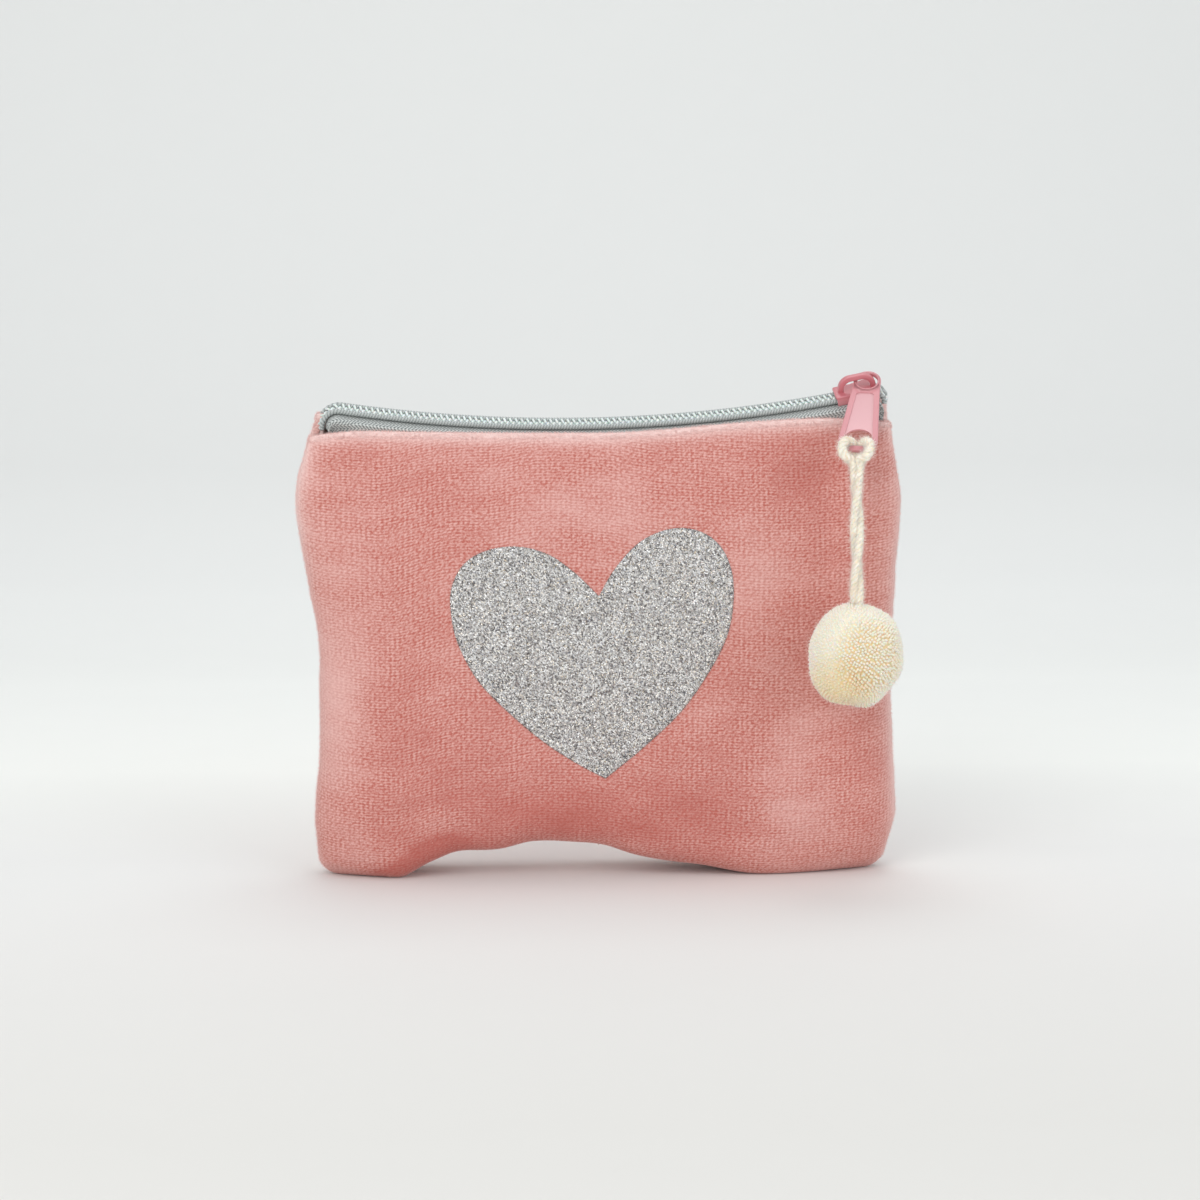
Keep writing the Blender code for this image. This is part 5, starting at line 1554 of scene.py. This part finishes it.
def make_core(middle, size, rng):
    """The pompom's close inside, a ball with a pit at its top for the cord."""
    shape = bmesh.new()
    bmesh.ops.create_icosphere(shape, subdivisions=6, radius=1.0)
    ball = np.array([tuple(vert.co.normalized()) for vert in shape.verts])
    dotted = dotted_at(ball)
    for vert, way, open_share in zip(shape.verts, ball, dotted):
        aside = math.hypot(way[0], way[1]) * size[0]
        pit = 0.45 * math.exp(-((aside / 0.0022) ** 4)) if way[2] > 0 else 0.0
        close = 0.968 - 0.030 * open_share + 0.006 * rng.random()
        vert.co = Vector(middle + way * lumpy(Vector(way)) * (close - pit) * size)
    core = bpy.data.meshes.new("pompom_core")
    shape.to_mesh(core)
    shape.free()
    core.shade_smooth()
    # Painted shade on the core: darker where the ends stand apart, and on the underside
    paint(core, "tip", 0.75 - 0.50 * dotted - 0.5 * warm_shade_at(ball))
    return core


def make_pompom(yarn, fibres):
    """The ball of cut yarn: tufts on a core, with fine fibres between their ends."""
    rng = np.random.default_rng(11)
    size = np.array([POMPOM_WIDTH, POMPOM_WIDTH, POMPOM_HEIGHT * POMPOM_FLUFF]) / 2
    middle = np.array(pompom_top()) - np.array([0.0, 0.0, POMPOM_HEIGHT / 2])
    middle[2] += POMPOM_HEIGHT / 2 * (POMPOM_FLUFF - 1)
    ways = spread_ways(POMPOM_TUFTS, rng)
    reach = np.array([lumpy(Vector(way)) for way in ways])
    kept = (ways[:, 2] < 0) | (np.hypot(ways[:, 0], ways[:, 1]) * size[0] > 0.0014)
    ways, reach = ways[kept], reach[kept] * (0.988 + 0.018 * rng.random(kept.sum()))
    lean = rng.normal(scale=0.05, size=ways.shape)
    mesh = make_tufts(ways, reach, middle, size, lean)
    tufts = add_piece("pompom_tufts", mesh, yarn, "pom", "pompom")
    core = add_piece("pompom_core", make_core(middle, size, rng), yarn, "pom")
    pick = rng.integers(0, len(ways), POMPOM_FIBRES)
    roots = middle + ways[pick] * size * (reach[pick] * 0.975)[:, None]
    roots += rng.normal(scale=0.00022, size=roots.shape)
    out = unit(ways[pick] + rng.normal(scale=0.35, size=(len(pick), 3)))
    lengths = 0.0004 + 0.0006 * rng.random(len(pick)) ** 2
    mesh = make_mesh("pompom_fuzz", *hair_parts(roots, out, lengths, 0.000026, 0.5, 12, 2))
    return [tufts, core, add_piece("pompom_fuzz", mesh, fibres, "pom")]


def make_knot(material):
    """The overhand knot inside the pompom."""
    centre = np.array(knot_centre())
    path = []
    for t in (TURN * step / 120 for step in range(121)):
        spot = ((math.sin(t) + 2 * math.sin(2 * t)) / 3, (math.cos(t) - 2 * math.cos(2 * t)) / 3,
                -math.sin(3 * t) / 2)
        path.append(centre + np.array(spot) * 0.0010)
    mesh = tubes_mesh("yarn_knot", [(path, 0.00058, 10)])
    return add_piece("yarn_knot", mesh, material, "charm", "cord_knot")


def cord_strands():
    """The two strands of the free cord, twisted round each other."""
    middle = fine_path(cord_route(), 0.0002)
    run = run_lengths(middle)
    across = np.array(tab_matrix().to_3x3() @ Vector((1.0, 0.0, 0.0)))
    first, second = side_directions(middle)
    start = math.atan2(float(np.dot(across, second[0])), float(np.dot(across, first[0])))
    angles = start + math.pi * np.maximum(run - 0.0014, 0.0) / (TWIST_LENGTH / 2)
    offset = 0.00062 + 0.00008 * np.exp(-((run / 0.0022) ** 2))
    inside = np.clip((run - CORD_LENGTH) / 0.002, 0.0, 1.0)
    offset = offset * (1 - 0.75 * inside)
    return [strand_at(middle, angles + math.pi * k, offset) for k in range(2)]


def make_charm():
    """The hitch on the tab, the twisted cord below it, its knot and the pompom."""
    yarn = yarn_material()
    fibres = fibre_material("yarn_fibres", (255, 247, 235), (255, 252, 245))
    hung = settled_tab_matrix()
    route = fine_path([hung @ Vector(point) for point in hitch_route()], 0.00016)
    make_yarn("hitch", [route], YARN_DIAMETER * 0.62, HITCH_FIBRES, "tab", "cord_hitch",
              (yarn, fibres), 3)
    cord, fluff = make_yarn("charm_yarn", cord_strands(), YARN_DIAMETER * 0.54, CORD_FIBRES,
                            "charm", "charm_cord", (yarn, fibres), 5)
    knot = make_knot(yarn)
    ball = make_pompom(tuft_material(), fibres)
    shift = Vector((0.0, BAG_BACK, 0.0))
    path = [tuple(Vector(point) + shift) for point in cord_route()]


def aim(thing, place, target):
    """Puts a lamp or the camera at a place and turns it to its target."""
    thing.location = place
    thing.rotation_euler = (Vector(target) - thing.location).to_track_quat("-Z", "Y").to_euler()


def make_stage():
    """A seamless pale floor and backdrop, soft lamps and the camera."""
    profile = [(-2.2, 0.0), (-1.0, 0.0), (0.0, 0.0), (0.30, 0.0)]
    profile += [(0.30 + 0.3 * math.sin(math.radians(a)), 0.3 - 0.3 * math.cos(math.radians(a)))
                for a in range(5, 91, 5)]
    profile += [(0.6, 0.9), (0.6, 1.8)]
    points = [(x, y, z) for x in (-2.5, 0.0, 2.5) for y, z in profile]
    mesh = make_mesh("studio_sweep", points, grid_faces(3, len(profile), flip=True))
    mesh.materials.append(stage_material())
    linked("studio_sweep", mesh)
    for name, place, size, power, tint in LAMPS:
        light = bpy.data.lights.new(name, "AREA")
        light.shape = "SQUARE"
        light.size = size
        light.energy = power
        light.color = tint
        aim(linked(name, light), place, LAMP_TARGET)
    scene = bpy.context.scene
    scene.world = bpy.data.worlds.new("studio")
    scene.world.use_nodes = True
    background = scene.world.node_tree.nodes["Background"].inputs
    background["Color"].default_value = SKY_COLOUR
    background["Strength"].default_value = SKY_STRENGTH
    camera = bpy.data.cameras.new("camera")
    camera.lens = CAMERA_LENS
    camera.sensor_width = 36.0
    camera.clip_start = 0.05
    scene.camera = linked("camera", camera)
    aim(scene.camera, CAMERA_PLACE, CAMERA_TARGET)
    scene.view_settings.view_transform = "Standard"


def main():
    """Builds the looks on the frame."""
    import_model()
    make_stage()
    make_charm()
    enamel = enamel_material()
    make_slider(enamel)
    make_tab(enamel)
    velvet = velvet_material()
    pile = fibre_material("velvet_pile", (240, 190, 183), (255, 226, 220))
    for side in (-1, 1):
        outer = make_velvet(side, velvet, pile)
        tree = grid_tree(outer)
        make_lining(side, lining_material())
        make_tape(side, tree, tape_material())
        make_coil(side, coil_material(), stitch_material())
        if side < 0:
            make_heart(tree, glitter_material())
            make_seam_threads(outer, thread_material())


main()
